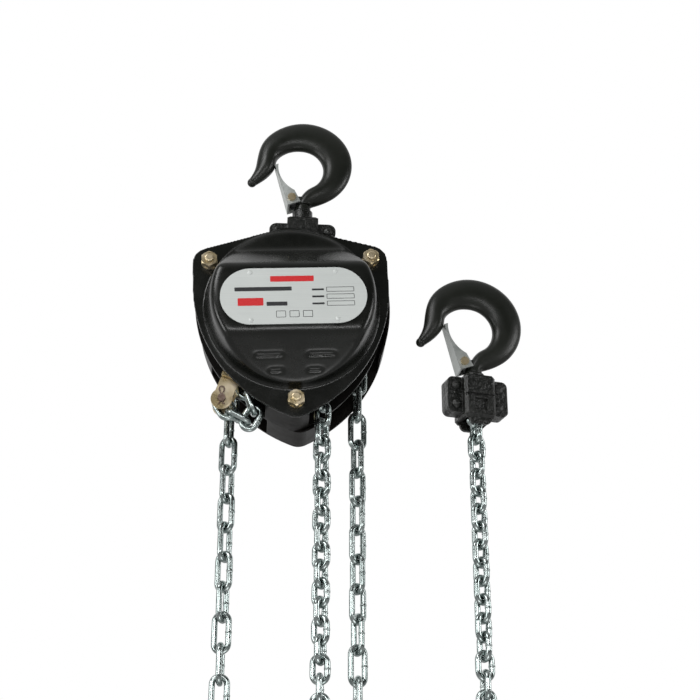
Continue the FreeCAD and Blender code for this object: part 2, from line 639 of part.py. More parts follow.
def dome(inset):
    """The dome as a cone between two slanted cuts, smaller all round by inset."""
    front = -dome_face + inset
    cone = Part.makeCone(dome_radius - inset, dome_radius - s.dome_draft - inset, dome_face - flange_face,
                         Vector(0, -flange_face + inset, s.step_rise), -Y)
    wide = 2 * dome_radius
    slope_foot = -flange_face - s.slope_foot_depth + inset
    top = polygon([(-flange_face + s.dome_depth, s.dome_top - inset + (s.dome_top - s.dome_face_top)),
                   (-flange_face, s.dome_top - inset), (front, s.dome_face_top - inset),
                   (front, -s.crease_fall + inset), (slope_foot, -s.slope_foot_fall + inset),
                   (slope_foot, -wide), (-flange_face + s.dome_depth, -wide)])
    face = Part.Face(Part.Wire([curve.toShape() for curve in top]))
    face.rotate(Vector(), X, 90)
    face.rotate(Vector(), Z, 90)
    face.translate(Vector(-wide, 0, 0))
    return cone.common(face.extrude(Vector(2 * wide, 0, 0)))


dome_outer = dome(0)
dome_outer = dome_outer.makeFillet(s.dome_fillet, [edge for edge in dome_outer.Edges
                                                   if edge.BoundBox.YMin < -dome_face + s.fit])
step = rod(step_radius, -flange_face - s.step_height, -plate_outer, 0, s.step_rise)
step = step.makeFillet(s.step_fillet, [edge for edge in step.Edges
                                       if edge.BoundBox.YMax < -flange_face - s.fit])
flange = extrude(shield(), -flange_face, -plate_outer)
room = dome(s.cover_sheet)
step_room = rod(step_radius - s.cover_sheet, -flange_face - s.step_height + s.cover_sheet,
                -plate_outer + s.overrun, 0, s.step_rise)
cover = flange.multiFuse([step, dome_outer]).cut(room.fuse(step_room))
for x, z in stays:
    cover = cover.cut(rod(s.stay_radius + s.bolt_play, -dome_face, plate_outer, x, z))
plate_rivet_places = [(x * s.plate_rivet_span / 2, s.plate_rise + z * s.plate_rivet_rise / 2)
                      for x in (-1, 1) for z in (-1, 1)]
for x, z in plate_rivet_places:
    cover = cover.cut(rod(s.plate_rivet_radius, -2 * dome_face, -dome_face + 2 * s.cover_sheet, x, z))
slope = math.atan2(s.slope_foot_fall - s.crease_fall, dome_face - flange_face - s.slope_foot_depth)
for fall, length, offset in ((s.louvre_fall, s.louvre_length, s.louvre_offset),
                             (s.short_louvre_fall, s.short_louvre_length, s.short_louvre_offset)):
    back = (fall - s.crease_fall) / math.tan(slope)
    for side in (-1, 1):
        centre = Vector(side * offset, -dome_face + back, -fall)
        dent = Part.makeCylinder(s.louvre_height / 2, length - s.louvre_height,
                                 centre - X * (length - s.louvre_height) / 2, X)
        for end in (-1, 1):
            dent = dent.fuse(Part.makeSphere(s.louvre_height / 2,
                                             centre + X * end * (length - s.louvre_height) / 2))
        dent.translate(Vector(0, -(s.louvre_height / 2 - s.louvre_depth), 0))
        cover = cover.cut(dent)
add("gear_cover", cover, frame_place)

plate_half = (s.plate_width - s.plate_height) / 2
plate_round = s.plate_height / 2
plate_outline = [line((-plate_half, s.plate_rise - plate_round), (plate_half, s.plate_rise - plate_round)),
                 arc(plate_half, s.plate_rise, plate_round, -90, 90),
                 line((plate_half, s.plate_rise + plate_round), (-plate_half, s.plate_rise + plate_round)),
                 arc(-plate_half, s.plate_rise, plate_round, 90, 270)]
sketched("nameplate", plate_outline, -dome_face - s.plate_sheet, "Sizes.plate_sheet",
         [(x, z, "Sizes.plate_rivet_radius") for x, z in plate_rivet_places], frame_place)
group("nameplate_rivets",
      [domed_rivet(-dome_face - s.plate_sheet, -dome_face + s.cover_sheet, x, z, s.plate_rivet_radius - s.fit,
                   s.plate_rivet_head, s.plate_rivet_height) for x, z in plate_rivet_places], frame_place)


# Hand wheel cover: a deep pressed pan with a V nose and an open slot for each strand of the chain

pan = extrude(shield(0, s.drive_offset), plate_outer, cover_back)
hollow = extrude(shield(s.wheel_cover_sheet, s.drive_offset), plate_outer - s.overrun,
                 cover_back - s.wheel_cover_sheet)
wheel_cover = pan.cut(hollow)
for side in (-1, 1):
    x0, x1 = sorted((s.drive_offset + side * s.nose_half_width, s.drive_offset + side * s.slot_outer))
    wheel_cover = wheel_cover.cut(slab(x0, x1, plate_outer - s.overrun, cover_back - s.wheel_cover_sheet,
                                       -s.stay_span, -s.slot_top_fall))
hub = rod(s.cover_hub_radius, cover_back, cover_back + s.cover_hub_height, s.drive_offset, 0)
hub_room = rod(s.cover_hub_radius - s.wheel_cover_sheet, cover_back - s.wheel_cover_sheet - s.overrun,
               cover_back + s.cover_hub_height - s.wheel_cover_sheet, s.drive_offset, 0)
wheel_cover = wheel_cover.fuse(hub).cut(hub_room)
for x, z in stays:
    wheel_cover = wheel_cover.cut(rod(s.stay_radius + s.bolt_play, plate_outer, cover_back + s.overrun, x, z))
add("hand_wheel_cover", wheel_cover, frame_place)


# Load sheave and hand chain wheel: a grooved rim with a pocket for every flat link

def pocket_wheel(chain, half, rim):
    """A wheel on the Y axis with a groove for the standing links and a pocket for every flat link."""
    outer = chain.flat_radius + rim
    floor = chain.standing_radius - chain.width / 2 - s.pocket_play
    solid = rod(outer, -half, half)
    solid = solid.cut(ring(outer + s.overrun, floor, -chain.wire / 2 - s.pocket_play,
                           chain.wire / 2 + s.pocket_play))
    seat = chain.flat_radius - chain.wire / 2 - s.fit
    depth = outer - seat + s.overrun
    round_end = chain.width / 2 + s.pocket_play / 2
    pocket_half = chain.inner_half + chain.wire + s.pocket_end_play - round_end
    pocket = slab(-pocket_half, pocket_half, -round_end, round_end, seat, seat + depth)
    for side in (-1, 1):
        pocket = pocket.fuse(Part.makeCylinder(round_end, depth, Vector(side * pocket_half, 0, seat), Z))
    for number in range(int(chain.pockets)):
        turned_pocket = pocket.copy()
        turned_pocket.rotate(Vector(), Y, 90 - 360.0 * number / chain.pockets)
        solid = solid.cut(turned_pocket)
    return solid


sheave_front = plate_outer + s.gear_start
load_gear_front = sheave_front + s.load_gear_width
sheave = pocket_wheel(load, s.sheave_half_width, s.sheave_rim)
journals = [rod(s.journal_radius, -sheave_front, -s.sheave_half_width),
            rod(s.journal_radius, s.sheave_half_width, plate_outer - s.fit),
            rod(s.spline_radius, -load_gear_front - s.ring_width - 2 * s.fit - s.ring_land, -sheave_front)]
sheave = sheave.multiFuse(journals)
ring_front = -load_gear_front - s.ring_width - s.fit
sheave = sheave.cut(ring(s.spline_radius + s.overrun, s.spline_radius - s.ring_depth, ring_front,
                         ring_front + s.ring_width + s.fit))
sheave = sheave.cut(rod(s.sheave_bore, -dome_face, dome_face))
drive_place = frame_place * Placement(Vector(s.drive_offset, 0, 0), Rotation())
wheel_turn = Placement(Vector(), Rotation(Y, s.hang_tilt))
add("load_sheave", sheave, drive_place * wheel_turn)
for label, side in (("front", -1), ("rear", 1)):
    y0, y1 = sorted((side * (plate_inner - s.bearing_flange), side * plate_outer))
    bearing = ring(s.bearing_outer, s.journal_radius + s.journal_play, y0, y1)
    add(f"sheave_bearing_{label}", bearing, drive_place)


# Gears: outlines of straight-sided teeth, made slim so that they mesh with play

def gear_outline(module, teeth, turn=0.0):
    """The outline of a toothed wheel round the origin, with a tooth at turn degrees."""
    pitch_radius = module * teeth / 2
    tip = pitch_radius + module * 0.9
    root = pitch_radius - module * 1.2
    step = 360.0 / teeth
    points = []
    for tooth in range(int(teeth)):
        middle = turn + tooth * step
        for radius, angle_share in ((root, -0.27), (tip, -0.11), (tip, 0.11), (root, 0.27)):
            angle = math.radians(middle + angle_share * step)
            points.append((radius * math.cos(angle), radius * math.sin(angle)))
    return polygon(points)


def gear(module, teeth, turn, front, back):
    return extrude(gear_outline(module, teeth, turn), front, back)


gear_stack_front = load_gear_front + s.gear_gap + s.wheel_width
load_pinion_turn = 180.0 + s.gear_angle
load_gear_tooth = s.gear_angle
load_solid = gear(s.load_module, s.load_teeth, load_gear_tooth, -load_gear_front, -sheave_front)
load_solid = load_solid.cut(rod(s.spline_radius + s.fit, -dome_face, 0))
add("load_gear", load_solid, drive_place)
add("load_gear_snap_ring", ring(s.spline_radius + s.ring_width, s.spline_radius - s.ring_depth + s.fit,
                                ring_front + s.fit / 2, ring_front + s.ring_width + s.fit / 2), drive_place)

shaft_back = s.hand_wheel_plane + s.hand_wheel_half_width + s.castle_nut_height
pinion_front = gear_stack_front + s.fit
pinion_back = load_gear_front + s.gear_gap
shaft = rod(s.drive_module * s.drive_teeth / 2 - 1.2 * s.drive_module - s.fit, -pinion_front - s.shaft_front,
            -pinion_back)
shaft = shaft.multiFuse([gear(s.drive_module, s.drive_teeth, s.gear_angle, -pinion_front,
                              -pinion_back + s.run_gap),
                         rod(s.shaft_radius, -pinion_back + s.run_gap, plate_outer + s.brake_start),
                         rod(s.thread_radius, plate_outer + s.brake_start, shaft_back)])
split_hole = Part.makeCylinder(s.split_wire / 2 + s.fit, 4 * s.thread_radius,
                               Vector(0, shaft_back - s.overrun, -2 * s.thread_radius), Z)
add("drive_shaft", shaft.cut(split_hole), drive_place)

for number, side in enumerate((-1, 1)):
    name = ("left", "right")[number]
    toward = 180 - s.gear_angle if side < 0 else s.gear_angle
    facing = toward + 180
    half_tooth = 180.0 / s.wheel_teeth
    half_pinion_tooth = 180.0 / s.pinion_teeth
    drive_phase = (toward - s.gear_angle) * s.drive_teeth / 360.0 % 1
    load_phase = (toward - load_gear_tooth) * s.load_teeth / 360.0 % 1
    wheel_tooth = facing + half_tooth * (1 + 2 * drive_phase)
    pinion_tooth = facing + half_pinion_tooth * (1 + 2 * load_phase)
    wheel = gear(s.drive_module, s.wheel_teeth, wheel_tooth, -gear_stack_front, -pinion_back)
    pinion = gear(s.load_module, s.pinion_teeth, pinion_tooth, -pinion_back, -sheave_front)
    stub = rod(s.layshaft_radius, -gear_stack_front - s.layshaft_end, -plate_inner - s.fit)
    x, z = layshafts[number]
    add(f"intermediate_gear_{name}", wheel.multiFuse([pinion, stub]),
        frame_place * Placement(Vector(x, 0, z), Rotation()))


# Load brake on the rear of the shaft: hub, two linings and a ratchet wheel, pressed by the hand wheel

brake_front = plate_outer + s.brake_start
hub_back = brake_front + s.hub_flange
hub = rod(s.brake_radius, brake_front, hub_back).fuse(
    rod(s.brake_bore, hub_back, hub_back + 2 * s.lining + s.ratchet_width - s.run_gap))
hub = hub.cut(rod(s.thread_radius + s.fit, 0, dome_face))
add("friction_hub", hub, drive_place)
lining_back = hub_back + s.lining
ratchet_back = lining_back + s.ratchet_width
stack_back = ratchet_back + s.lining
add("friction_lining_inner", ring(s.brake_radius, s.brake_bore + s.fit, hub_back, lining_back), drive_place)
add("friction_lining_outer", ring(s.brake_radius, s.brake_bore + s.fit, ratchet_back, stack_back), drive_place)


def ratchet_outline():
    """Saw teeth with a steep face on one side."""
    points = []
    step = 2 * math.pi / s.ratchet_teeth
    for tooth in range(int(s.ratchet_teeth)):
        for radius, angle_share in ((s.ratchet_root, 0.0), (s.ratchet_radius, 0.06), (s.ratchet_radius, 0.16)):
            angle = (tooth + angle_share) * step
            points.append((radius * math.cos(angle), radius * math.sin(angle)))
    return polygon(points)


sketched("ratchet_wheel", ratchet_outline(), lining_back, "Sizes.ratchet_width",
         [(0, 0, "Sizes.brake_bore + Sizes.fit")], drive_place)

hand_wheel = pocket_wheel(hand, s.hand_wheel_half_width, s.hand_wheel_rim)
rim_inside = hand.standing_radius - s.hand_link_width / 2 - s.pocket_play - s.hand_rim_wall
half = s.hand_wheel_half_width
web_front = stack_back - s.hand_wheel_plane
dish = rod(rim_inside, -half - s.overrun, web_front)
rear_dish = ring(rim_inside, s.hand_hub_radius, web_front + s.hand_web, half + s.overrun)
hand_wheel = hand_wheel.cut(dish).cut(rear_dish).cut(rod(s.thread_radius + s.fit, -half - s.overrun,
                                                         half + s.overrun))
wheel_plane = Placement(Vector(0, s.hand_wheel_plane, 0), Rotation())
add("hand_chain_wheel", hand_wheel, drive_place * wheel_turn * wheel_plane)

nut_start = s.hand_wheel_plane + s.hand_wheel_half_width
castle = extrude(hexagon(s.castle_nut_flats), nut_start, nut_start + s.castle_nut_height)
castle = castle.cut(rod(s.thread_radius + s.fit, nut_start - s.overrun, nut_start + 2 * s.castle_nut_height))
for turn in (0, 60, 120):
    slot = slab(-s.castle_nut_flats, s.castle_nut_flats, shaft_back - s.overrun - s.split_wire,
                shaft_back + s.overrun, -s.split_wire, s.split_wire)
    slot.rotate(Vector(), Y, turn + 90)
    castle = castle.cut(slot)
add("shaft_castle_nut", castle, drive_place)
pin_half = s.castle_nut_flats / math.sqrt(3) + s.fit
split = Part.makeCylinder(s.split_wire / 2, 2 * pin_half, Vector(0, shaft_back - s.overrun, -pin_half), Z)
eye = Part.makeTorus(s.split_wire, s.split_wire / 2, Vector(0, shaft_back - s.overrun,
                                                             pin_half + s.split_wire), X)
add("shaft_split_pin", split.fuse(eye), drive_place)


# Pawls on pins in the rear side plate, drawn as they ride on the tips of the ratchet teeth

pawl_gap = s.pawl_pin_reach - s.ratchet_radius - s.pawl_play
pawl_tip = (-s.pawl_boss - 2 * pawl_gap, -pawl_gap)
pawl_length = math.hypot(*pawl_tip)
tooth_reach = s.ratchet_radius + s.pawl_play
tip_angle = math.acos((s.pawl_pin_reach ** 2 + pawl_length ** 2 - tooth_reach ** 2)
                      / (2 * s.pawl_pin_reach * pawl_length))
pawl_lean = 90 - math.degrees(tip_angle + math.atan2(pawl_gap, -pawl_tip[0]))


def pawl_outline():
    """A pawl on its own pin, with its nose towards -X."""
    boss = s.pawl_boss
    upper = (pawl_tip[0], pawl_tip[1] + s.pawl_nose)
    return [arc(0, 0, boss, -90, 120), line((-boss / 2, boss * math.sqrt(3) / 2), upper),
            line(upper, pawl_tip), line(pawl_tip, (-boss, -boss)), line((-boss, -boss), (0, -boss))]


springs = []
pins = []
for name, place, turn in zip(("right", "left"), pawl_places, pawl_turns):
    pawl_place = frame_place * Placement(place, Rotation(Y, 90 - turn - pawl_lean))
    sketched(f"pawl_{name}", pawl_outline(), lining_back + s.run_gap, "Sizes.ratchet_width - 2 * Sizes.run_gap",
             [(0, 0, "Sizes.pawl_pin_radius + Sizes.fit")], pawl_place)
    pins.append(rod(s.pawl_pin_radius, plate_inner, ratchet_back + s.overrun, place.x, place.z))
    spring = ring(s.pawl_boss - s.fit, s.pawl_pin_radius + s.fit, plate_outer + s.fit,
                  lining_back + s.run_gap - s.fit, place.x, place.z)
    springs.append(spring)
group("pawl_pins", pins, frame_place)
group("pawl_springs", springs, frame_place)


# Guide rollers beside the sheave, and the stripper below it

for name, (x, z) in zip(("left", "right"), roller_places):
    roller = ring(s.roller_radius, s.roller_pin_radius + s.roller_bore_play, -s.roller_half_width,
                  s.roller_half_width, x, z)
    add(f"guide_roller_{name}", roller, frame_place)
group("guide_roller_pins", [rod(s.roller_pin_radius, -plate_outer, plate_outer, x, z)
                            for x, z in roller_places], frame_place)
nose_half = s.stripper_width / 2
bar_top = -s.stripper_fall + s.stripper_bar / 2
nose = [line((-s.stripper_nose_width / 2, bar_top), (s.stripper_nose_width / 2, bar_top)),
        line((s.stripper_nose_width / 2, bar_top), (nose_half, -s.stripper_nose_fall)),
        line((nose_half, -s.stripper_nose_fall), (-nose_half, -s.stripper_nose_fall)),
        line((-nose_half, -s.stripper_nose_fall), (-s.stripper_nose_width / 2, bar_top))]
bar = slab(-s.stripper_nose_width / 2, s.stripper_nose_width / 2, -plate_inner, plate_inner,
           -s.stripper_fall - s.stripper_bar / 2, bar_top)
add("chain_stripper", bar.fuse(extrude(nose, -nose_half, nose_half)), drive_place)


# Load chain: over the sheave to its anchor on the left, and from the sheave down and up to its hook

load_link = link_solid(s.load_pitch, s.load_wire, s.load_link_width)
over_sheave = load.over_wheel(drive_point)
tail_headings = (-88, -130, -136, -75, -69, -117, -208, -238)
tail_places = [over_sheave[-1]]
for turn, step in zip(tail_headings, load.steps(len(tail_headings), True)):
    tail_places.append(tail_places[-1] + heading(turn) * step)
group("load_chain_tail", links_along(load_link, over_sheave + tail_places[1:], True))

load_hook_seat = Vector(s.load_hook_across, 0, -s.load_hook_fall)
chain_pin_point = load_hook_seat - Z * s.chain_pin_fall
pin_in_link = load.inner_half - s.chain_pin_radius - s.fit
load_end = chain_pin_point + Z * (load.standing / 2 - pin_in_link)
load_places = loop_places(over_sheave[0], load_end, load.steps(int(s.load_links), False))
group("load_chain", links_along(load_link, load_places, False, s.load_twist, s.block_yaw))

hand_link = link_solid(s.hand_pitch, s.hand_wire, s.hand_link_width)
over_wheel = hand.over_wheel(drive_point + Y * s.hand_wheel_plane)
hand_places = loop_places(over_wheel[-1], over_wheel[0], hand.steps(int(s.hand_links), True))
group("hand_chain", links_along(hand_link, over_wheel, True)
      + links_along(hand_link, hand_places, True, s.hand_twist))


# Chain anchor: a bent bracket with two cheeks, its pin, washer and split pin

last_link = heading(tail_headings[-1])
last_middle = (tail_places[-2] + tail_places[-1]) / 2
anchor_point = last_middle + last_link * (load.inner_half - s.anchor_pin_radius - s.fit)
anchor_on_frame = on_frame(anchor_point)
base_place = Vector(-s.anchor_base_across, 0, -s.anchor_base_fall)
arm = Vector(base_place.x - anchor_on_frame.x, 0, base_place.z - anchor_on_frame.z)
arm_length = arm.Length
arm_turn = math.degrees(math.atan2(arm.z, arm.x))
end = s.anchor_end_radius
cheek_outline = [arc(0, 0, end, 90, 270), line((0, -end), (arm_length, -end)),
                 line((arm_length, -end), (arm_length, end)), line((arm_length, end), (0, end))]
outer_face = s.anchor_cheek_gap + s.anchor_cheek
cheeks = [extrude(cheek_outline, -outer_face, -s.anchor_cheek_gap),
          extrude(cheek_outline, s.anchor_cheek_gap, outer_face),
          slab(arm_length - s.anchor_cheek, arm_length, -plate_inner, plate_inner, 0, end),
          slab(arm_length - s.anchor_base_length, arm_length, -plate_inner, -plate_inner + s.anchor_cheek,
               -end, end),
          slab(arm_length - s.anchor_base_length, arm_length, plate_inner - s.anchor_cheek, plate_inner,
               -end, end)]
bracket = cheeks[0].multiFuse(cheeks[1:]).removeSplitter()
bracket = bracket.cut(rod(s.anchor_pin_radius + s.fit, -2 * outer_face, 2 * outer_face))
anchor_place = frame_place * Placement(anchor_on_frame, Rotation(Y, -arm_turn))
add("chain_anchor", bracket, anchor_place)
washer_front = -outer_face - s.anchor_washer_height
add("anchor_washer", ring(s.anchor_washer_radius, s.anchor_pin_radius + s.fit, washer_front, -outer_face),
    anchor_place)
pin_front = washer_front - s.anchor_pin_end
pin_body = rod(s.anchor_pin_radius, pin_front, outer_face)
pin_cap = rod(s.anchor_end_radius - s.anchor_cheek, outer_face, outer_face + s.anchor_washer_height)
split_middle = pin_front + s.anchor_pin_end / 2
bore = Part.makeCylinder(s.split_wire / 2 + s.fit, 4 * s.anchor_pin_radius,
                         Vector(0, split_middle, -2 * s.anchor_pin_radius), Z)
pin_turn = Placement(anchor_point, Rotation())
add("anchor_pin", pin_body.fuse(pin_cap).cut(bore), pin_turn)
leg = s.anchor_pin_radius + s.split_eye
split = Part.makeCylinder(s.split_wire / 2, 2 * leg, Vector(0, split_middle, -leg), Z)
eye = Part.makeTorus(s.split_eye - s.split_wire / 2, s.split_wire / 2,
                     Vector(0, split_middle, leg + s.split_eye - s.split_wire), Y)
add("anchor_split_pin", split.fuse(eye), pin_turn)


# Load block: two castings round the shank head of the load hook, riveted, with the chain pin

block_place = Placement(load_hook_seat, Rotation(Z, s.block_yaw))
hook_set("load", Placement(load_hook_seat, Rotation(Z, s.load_hook_yaw)), s.block_top,
         s.load_washer_height)


def block_whole():
    wings = slab(-s.block_wing, s.block_wing, -s.block_wing_depth, s.block_wing_depth,
                 -s.block_bottom + s.block_corner, -s.block_top - s.block_corner / 2)
    wings = wings.makeFillet(s.block_corner, across_edges(wings, s.block_wing_depth))
    core = slab(-s.block_core, s.block_core, -s.block_core_depth, s.block_core_depth,
                -s.block_bottom, -s.block_top)
    core = core.makeChamfer(s.block_corner / 2, core.Edges)
    ears = slab(-s.ear_width / 2, s.ear_width / 2, -s.block_core_depth + s.overrun,
                s.block_core_depth - s.overrun, -s.block_bottom - s.ear_reach, -s.block_bottom + s.overrun)
    ears = ears.makeFillet(s.ear_reach, [edge for edge in across_edges(ears, s.block_core_depth)
                                         if edge.BoundBox.ZMax < -s.block_bottom])
    whole = wings.multiFuse([core, ears]).removeSplitter()
    slot = slab(-s.chain_slot_width / 2, s.chain_slot_width / 2, -s.chain_slot_depth, s.chain_slot_depth,
                -s.block_bottom - 2 * s.ear_reach, -s.chain_pin_fall + load.inner_half + s.load_wire)
    mouth = slab(-s.ear_width, s.ear_width, -s.load_link_width / 2 - s.link_room,
                 s.load_link_width / 2 + s.link_room, -s.block_bottom - 2 * s.ear_reach,
                 -s.block_bottom + 2 * s.link_room)
    whole = whole.cut(slot.fuse(mouth))
    whole = whole.cut(rod(s.chain_pin_radius + s.fit, -2 * s.block_core_depth, 2 * s.block_core_depth, 0,
                          -s.chain_pin_fall))
    for side in (-1, 1):
        y0, y1 = sorted((side * (s.block_core_depth - s.ridge_depth), side * 2 * s.block_core_depth))
        whole = whole.cut(slab(-s.block_wing, s.block_wing, y0, y1, -s.ridge_fall - s.ridge_height,
                               -s.ridge_fall))
        y0, y1 = sorted((side * (s.block_core_depth - s.pin_recess_depth), side * 2 * s.block_core_depth))
        whole = whole.cut(slab(-s.pin_recess_width / 2, s.pin_recess_width / 2, y0, y1,
                               -s.chain_pin_fall - s.pin_recess_height / 2,
                               -s.chain_pin_fall + s.pin_recess_height / 2))
    for x in (-1, 1):
        for z in (s.block_rivet_top, s.block_rivet_low):
            whole = whole.cut(rod(s.rivet_radius + s.fit, -2 * s.block_core_depth, 2 * s.block_core_depth,
                                  x * s.block_rivet_span / 2, -z))
    return whole.cut(shank_room(s.block_top))


front_half, rear_half = halves(block_whole(), s.block_core_depth, s.block_split, 2 * s.block_wing,
                               -2 * s.block_bottom, s.overrun)
add("load_block_front", front_half, block_place)
add("load_block_rear", rear_half, block_place)
group("load_block_rivets", [domed_rivet(-s.block_wing_depth, s.block_wing_depth, x * s.block_rivet_span / 2,
                                        -z, s.rivet_radius, s.rivet_head_radius, s.rivet_head_height)
                            for x in (-1, 1) for z in (s.block_rivet_top, s.block_rivet_low)], block_place)
pin_end = s.block_core_depth - s.pin_recess_depth + s.fit
add("chain_pin", rod(s.chain_pin_radius, -pin_end, pin_end, 0, -s.chain_pin_fall), block_place)


# The last step: every object is computed, looked over and written

doc.recompute()
for thing in doc.Objects:
    if "Invalid" in thing.State or "Error" in thing.State:
        raise RuntimeError(f"{thing.Label} is {thing.State}")
os.makedirs("parts", exist_ok=True)
for piece in made:
    if piece.Shape.isNull() or not piece.Shape.isValid():
        raise RuntimeError(f"{piece.Label} has no sound shape")
    piece.Shape.exportStep(f"parts/{piece.Label}.step")
    box = piece.Shape.BoundBox
    print(f"{piece.Label}: {len(piece.Shape.Solids)} solids, {piece.Shape.Volume:.0f} mm3, "
          f"X {box.XMin:.1f} {box.XMax:.1f}, Y {box.YMin:.1f} {box.YMax:.1f}, Z {box.ZMin:.1f} {box.ZMax:.1f}")
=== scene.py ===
# %% [markdown]
# # A hand chain hoist, dressed over its built parts
#
# The hoist hangs by its top hook. A black pressed body holds the wheels and gears, a pocket wheel carries
# the load chain, and an endless hand chain turns that wheel through a gear train. The parts come in from the
# CAD model at their true size, so this script gives them their paint, zinc, wear and small details, and
# never moves them.

# %% Load the built parts
import json
import math

import bmesh
import bpy
import numpy as np
from mathutils import Matrix, Vector


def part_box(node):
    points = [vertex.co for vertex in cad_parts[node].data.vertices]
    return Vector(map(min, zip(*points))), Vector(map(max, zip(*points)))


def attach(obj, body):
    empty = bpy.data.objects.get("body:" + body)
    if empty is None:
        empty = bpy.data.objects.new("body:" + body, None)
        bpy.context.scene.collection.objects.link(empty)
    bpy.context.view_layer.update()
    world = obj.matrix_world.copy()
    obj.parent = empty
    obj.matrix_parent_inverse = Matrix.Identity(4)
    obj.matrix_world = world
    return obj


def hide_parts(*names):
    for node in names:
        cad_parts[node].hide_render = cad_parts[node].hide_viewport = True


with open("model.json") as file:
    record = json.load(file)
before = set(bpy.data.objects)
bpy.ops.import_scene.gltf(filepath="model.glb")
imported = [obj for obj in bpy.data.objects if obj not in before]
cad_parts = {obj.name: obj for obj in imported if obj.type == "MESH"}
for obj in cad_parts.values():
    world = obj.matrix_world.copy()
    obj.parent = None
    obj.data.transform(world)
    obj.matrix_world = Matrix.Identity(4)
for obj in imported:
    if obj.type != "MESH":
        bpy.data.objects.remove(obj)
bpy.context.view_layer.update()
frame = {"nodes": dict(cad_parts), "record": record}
nodes = frame["nodes"]
record = frame["record"]
body_of_node = {node: body for body, held in record["behaviour"]["bodies"].items() for node in held}
slot_of_node = {part["node"]: part["material_slot"] for part in record["subparts"]}
MM = 0.001

# %% [markdown]
# ## The camera
#
# The photograph was taken from below with a short telephoto lens: the underside of the body shows, and
# upright lines lean together a little towards the top. One camera with those settings is enough, and it has
# no depth of field, because every part of the hoist is sharp in the picture.

# %% Set up the camera
CAMERA_PLACE = Vector((-0.0336, -1.0854, -0.6802))
CAMERA_AIM = Vector((0.0637, 0.9113, 0.4067))
LENS_MM = 72
SENSOR_MM = 36
NEAREST_SEEN = 0.05


def in_scene(name, data):
    """A new object in the scene for this camera, lamp, mesh or curve."""
    made = bpy.data.objects.new(name, data)
    bpy.context.scene.collection.objects.link(made)
    return made


camera_data = bpy.data.cameras.new("hoist_camera")
camera_data.lens = LENS_MM
camera_data.sensor_width = SENSOR_MM
camera_data.clip_start = NEAREST_SEEN
camera = in_scene("hoist_camera", camera_data)
camera.location = CAMERA_PLACE
camera.rotation_euler = CAMERA_AIM.to_track_quat("-Z", "Y").to_euler()
bpy.context.scene.camera = camera
print("camera looks up by", round(math.degrees(math.asin(CAMERA_AIM.normalized().z)), 1), "degrees")

# %% [markdown]
# ## Shader maths
#
# A finish is a small sum: paint plus dust, or zinc minus wear. Written as nodes, such a sum is hard to read,
# so a value in a material is wrapped in a class that turns plus and times into Math nodes. Everything else
# is added by one method that takes a node's type, its settings and its values.

# %% Wrap sockets for shader maths
class Field:
    """A value among a material's nodes that can be added, subtracted and multiplied."""

    def __init__(self, recipe, socket):
        self.recipe = recipe
        self.socket = socket

    def maths(self, operation, first, second):
        return self.recipe.node("ShaderNodeMath", {"operation": operation}, {0: first, 1: second})

    def __add__(self, other):
        return self.maths("ADD", self, other)

    def __sub__(self, other):
        return self.maths("SUBTRACT", self, other)

    def __rsub__(self, other):
        return self.maths("SUBTRACT", other, self)

    def __mul__(self, other):
        return self.maths("MULTIPLY", self, other)

    __radd__ = __add__
    __rmul__ = __mul__

    def or_more(self, other):
        """The larger of the two values."""
        return self.maths("MAXIMUM", self, other)


class Recipe:
    """A set of nodes to which others are added by type, settings and values."""

    def __init__(self, tree):
        self.tree = tree

    def node(self, kind, settings, values, output=0):
        made = self.tree.nodes.new(kind)
        for name, value in settings.items():
            setattr(made, name, value)
        for name, value in values.items():
            self.plug(value, made.inputs[name])
        return Field(self, made.outputs[output])

    def plug(self, value, socket):
        if isinstance(value, Field):
            self.tree.links.new(value.socket, socket)
        else:
            socket.default_value = value

    def between(self, value, low, high, start=0.0, end=1.0):
        """The value spread from low to high onto start to end, and held there outside."""
        return self.node("ShaderNodeMapRange", {}, {0: value, 1: low, 2: high, 3: start, 4: end})

    def ray(self, kind):
        """1 for light rays of this kind, and 0 for all others."""
        return self.node("ShaderNodeLightPath", {}, {}, f"Is {kind} Ray")


# %% Start a finish from its shader and its noises
class Finish(Recipe):
    """A material of the hoist while its nodes are added."""

    def __init__(self, name, metallic=0.0, specular=0.5):
        self.material = bpy.data.materials.new(name)
        self.material.use_nodes = True
        super().__init__(self.material.node_tree)
        self.shader = self.tree.nodes["Principled BSDF"]
        self.shader.inputs["Metallic"].default_value = metallic
        self.shader.inputs["Specular IOR Level"].default_value = specular
        self.place = self.node("ShaderNodeTexCoord", {}, {}, "Object")

    def stretched(self, scale):
        return self.node("ShaderNodeMapping", {}, {"Vector": self.place, "Scale": scale})

    def noise(self, scale, detail, place=None):
        return self.node("ShaderNodeTexNoise", {}, {
            "Vector": place or self.place, "Scale": scale, "Detail": detail})

    def blend(self, mask, first, second):
        """A colour that goes from first to second where the mask goes from 0 to 1."""
        return self.node("ShaderNodeMix", {"data_type": "RGBA"},
                         {0: mask, 6: (*first, 1.0), 7: (*second, 1.0)}, 2)

    def relief(self, height, depth, under=None):
        """Bumps as high as depth, in metres, on the plain surface or over another relief."""
        values = {"Height": height, "Distance": depth, "Strength": 1.0}
        if under:
            values["Normal"] = under
        return self.node("ShaderNodeBump", {}, values)

    def use(self, colour, roughness, relief=None):
        self.plug(colour, self.shader.inputs["Base Color"])
        self.plug(roughness, self.shader.inputs["Roughness"])
        if relief:
            self.plug(relief, self.shader.inputs["Normal"])
        return self.material


# %% [markdown]
# ## Black enamel
#
# The hoist has five blacks, and no two are alike. The hooks are forged and dipped: the enamel is satin and
# follows a soft hammered skin. The yoke and load block are sand castings with a coarse grain. The pressed
# gear cover has the fine orange peel of powder coat, and the rear cover and the side plates have a browner,
# duller coat. One function with a grain size and depth for each gives all of them. Paint also pools over a
# bent edge, so each black has an edge radius at which light runs round the edge.

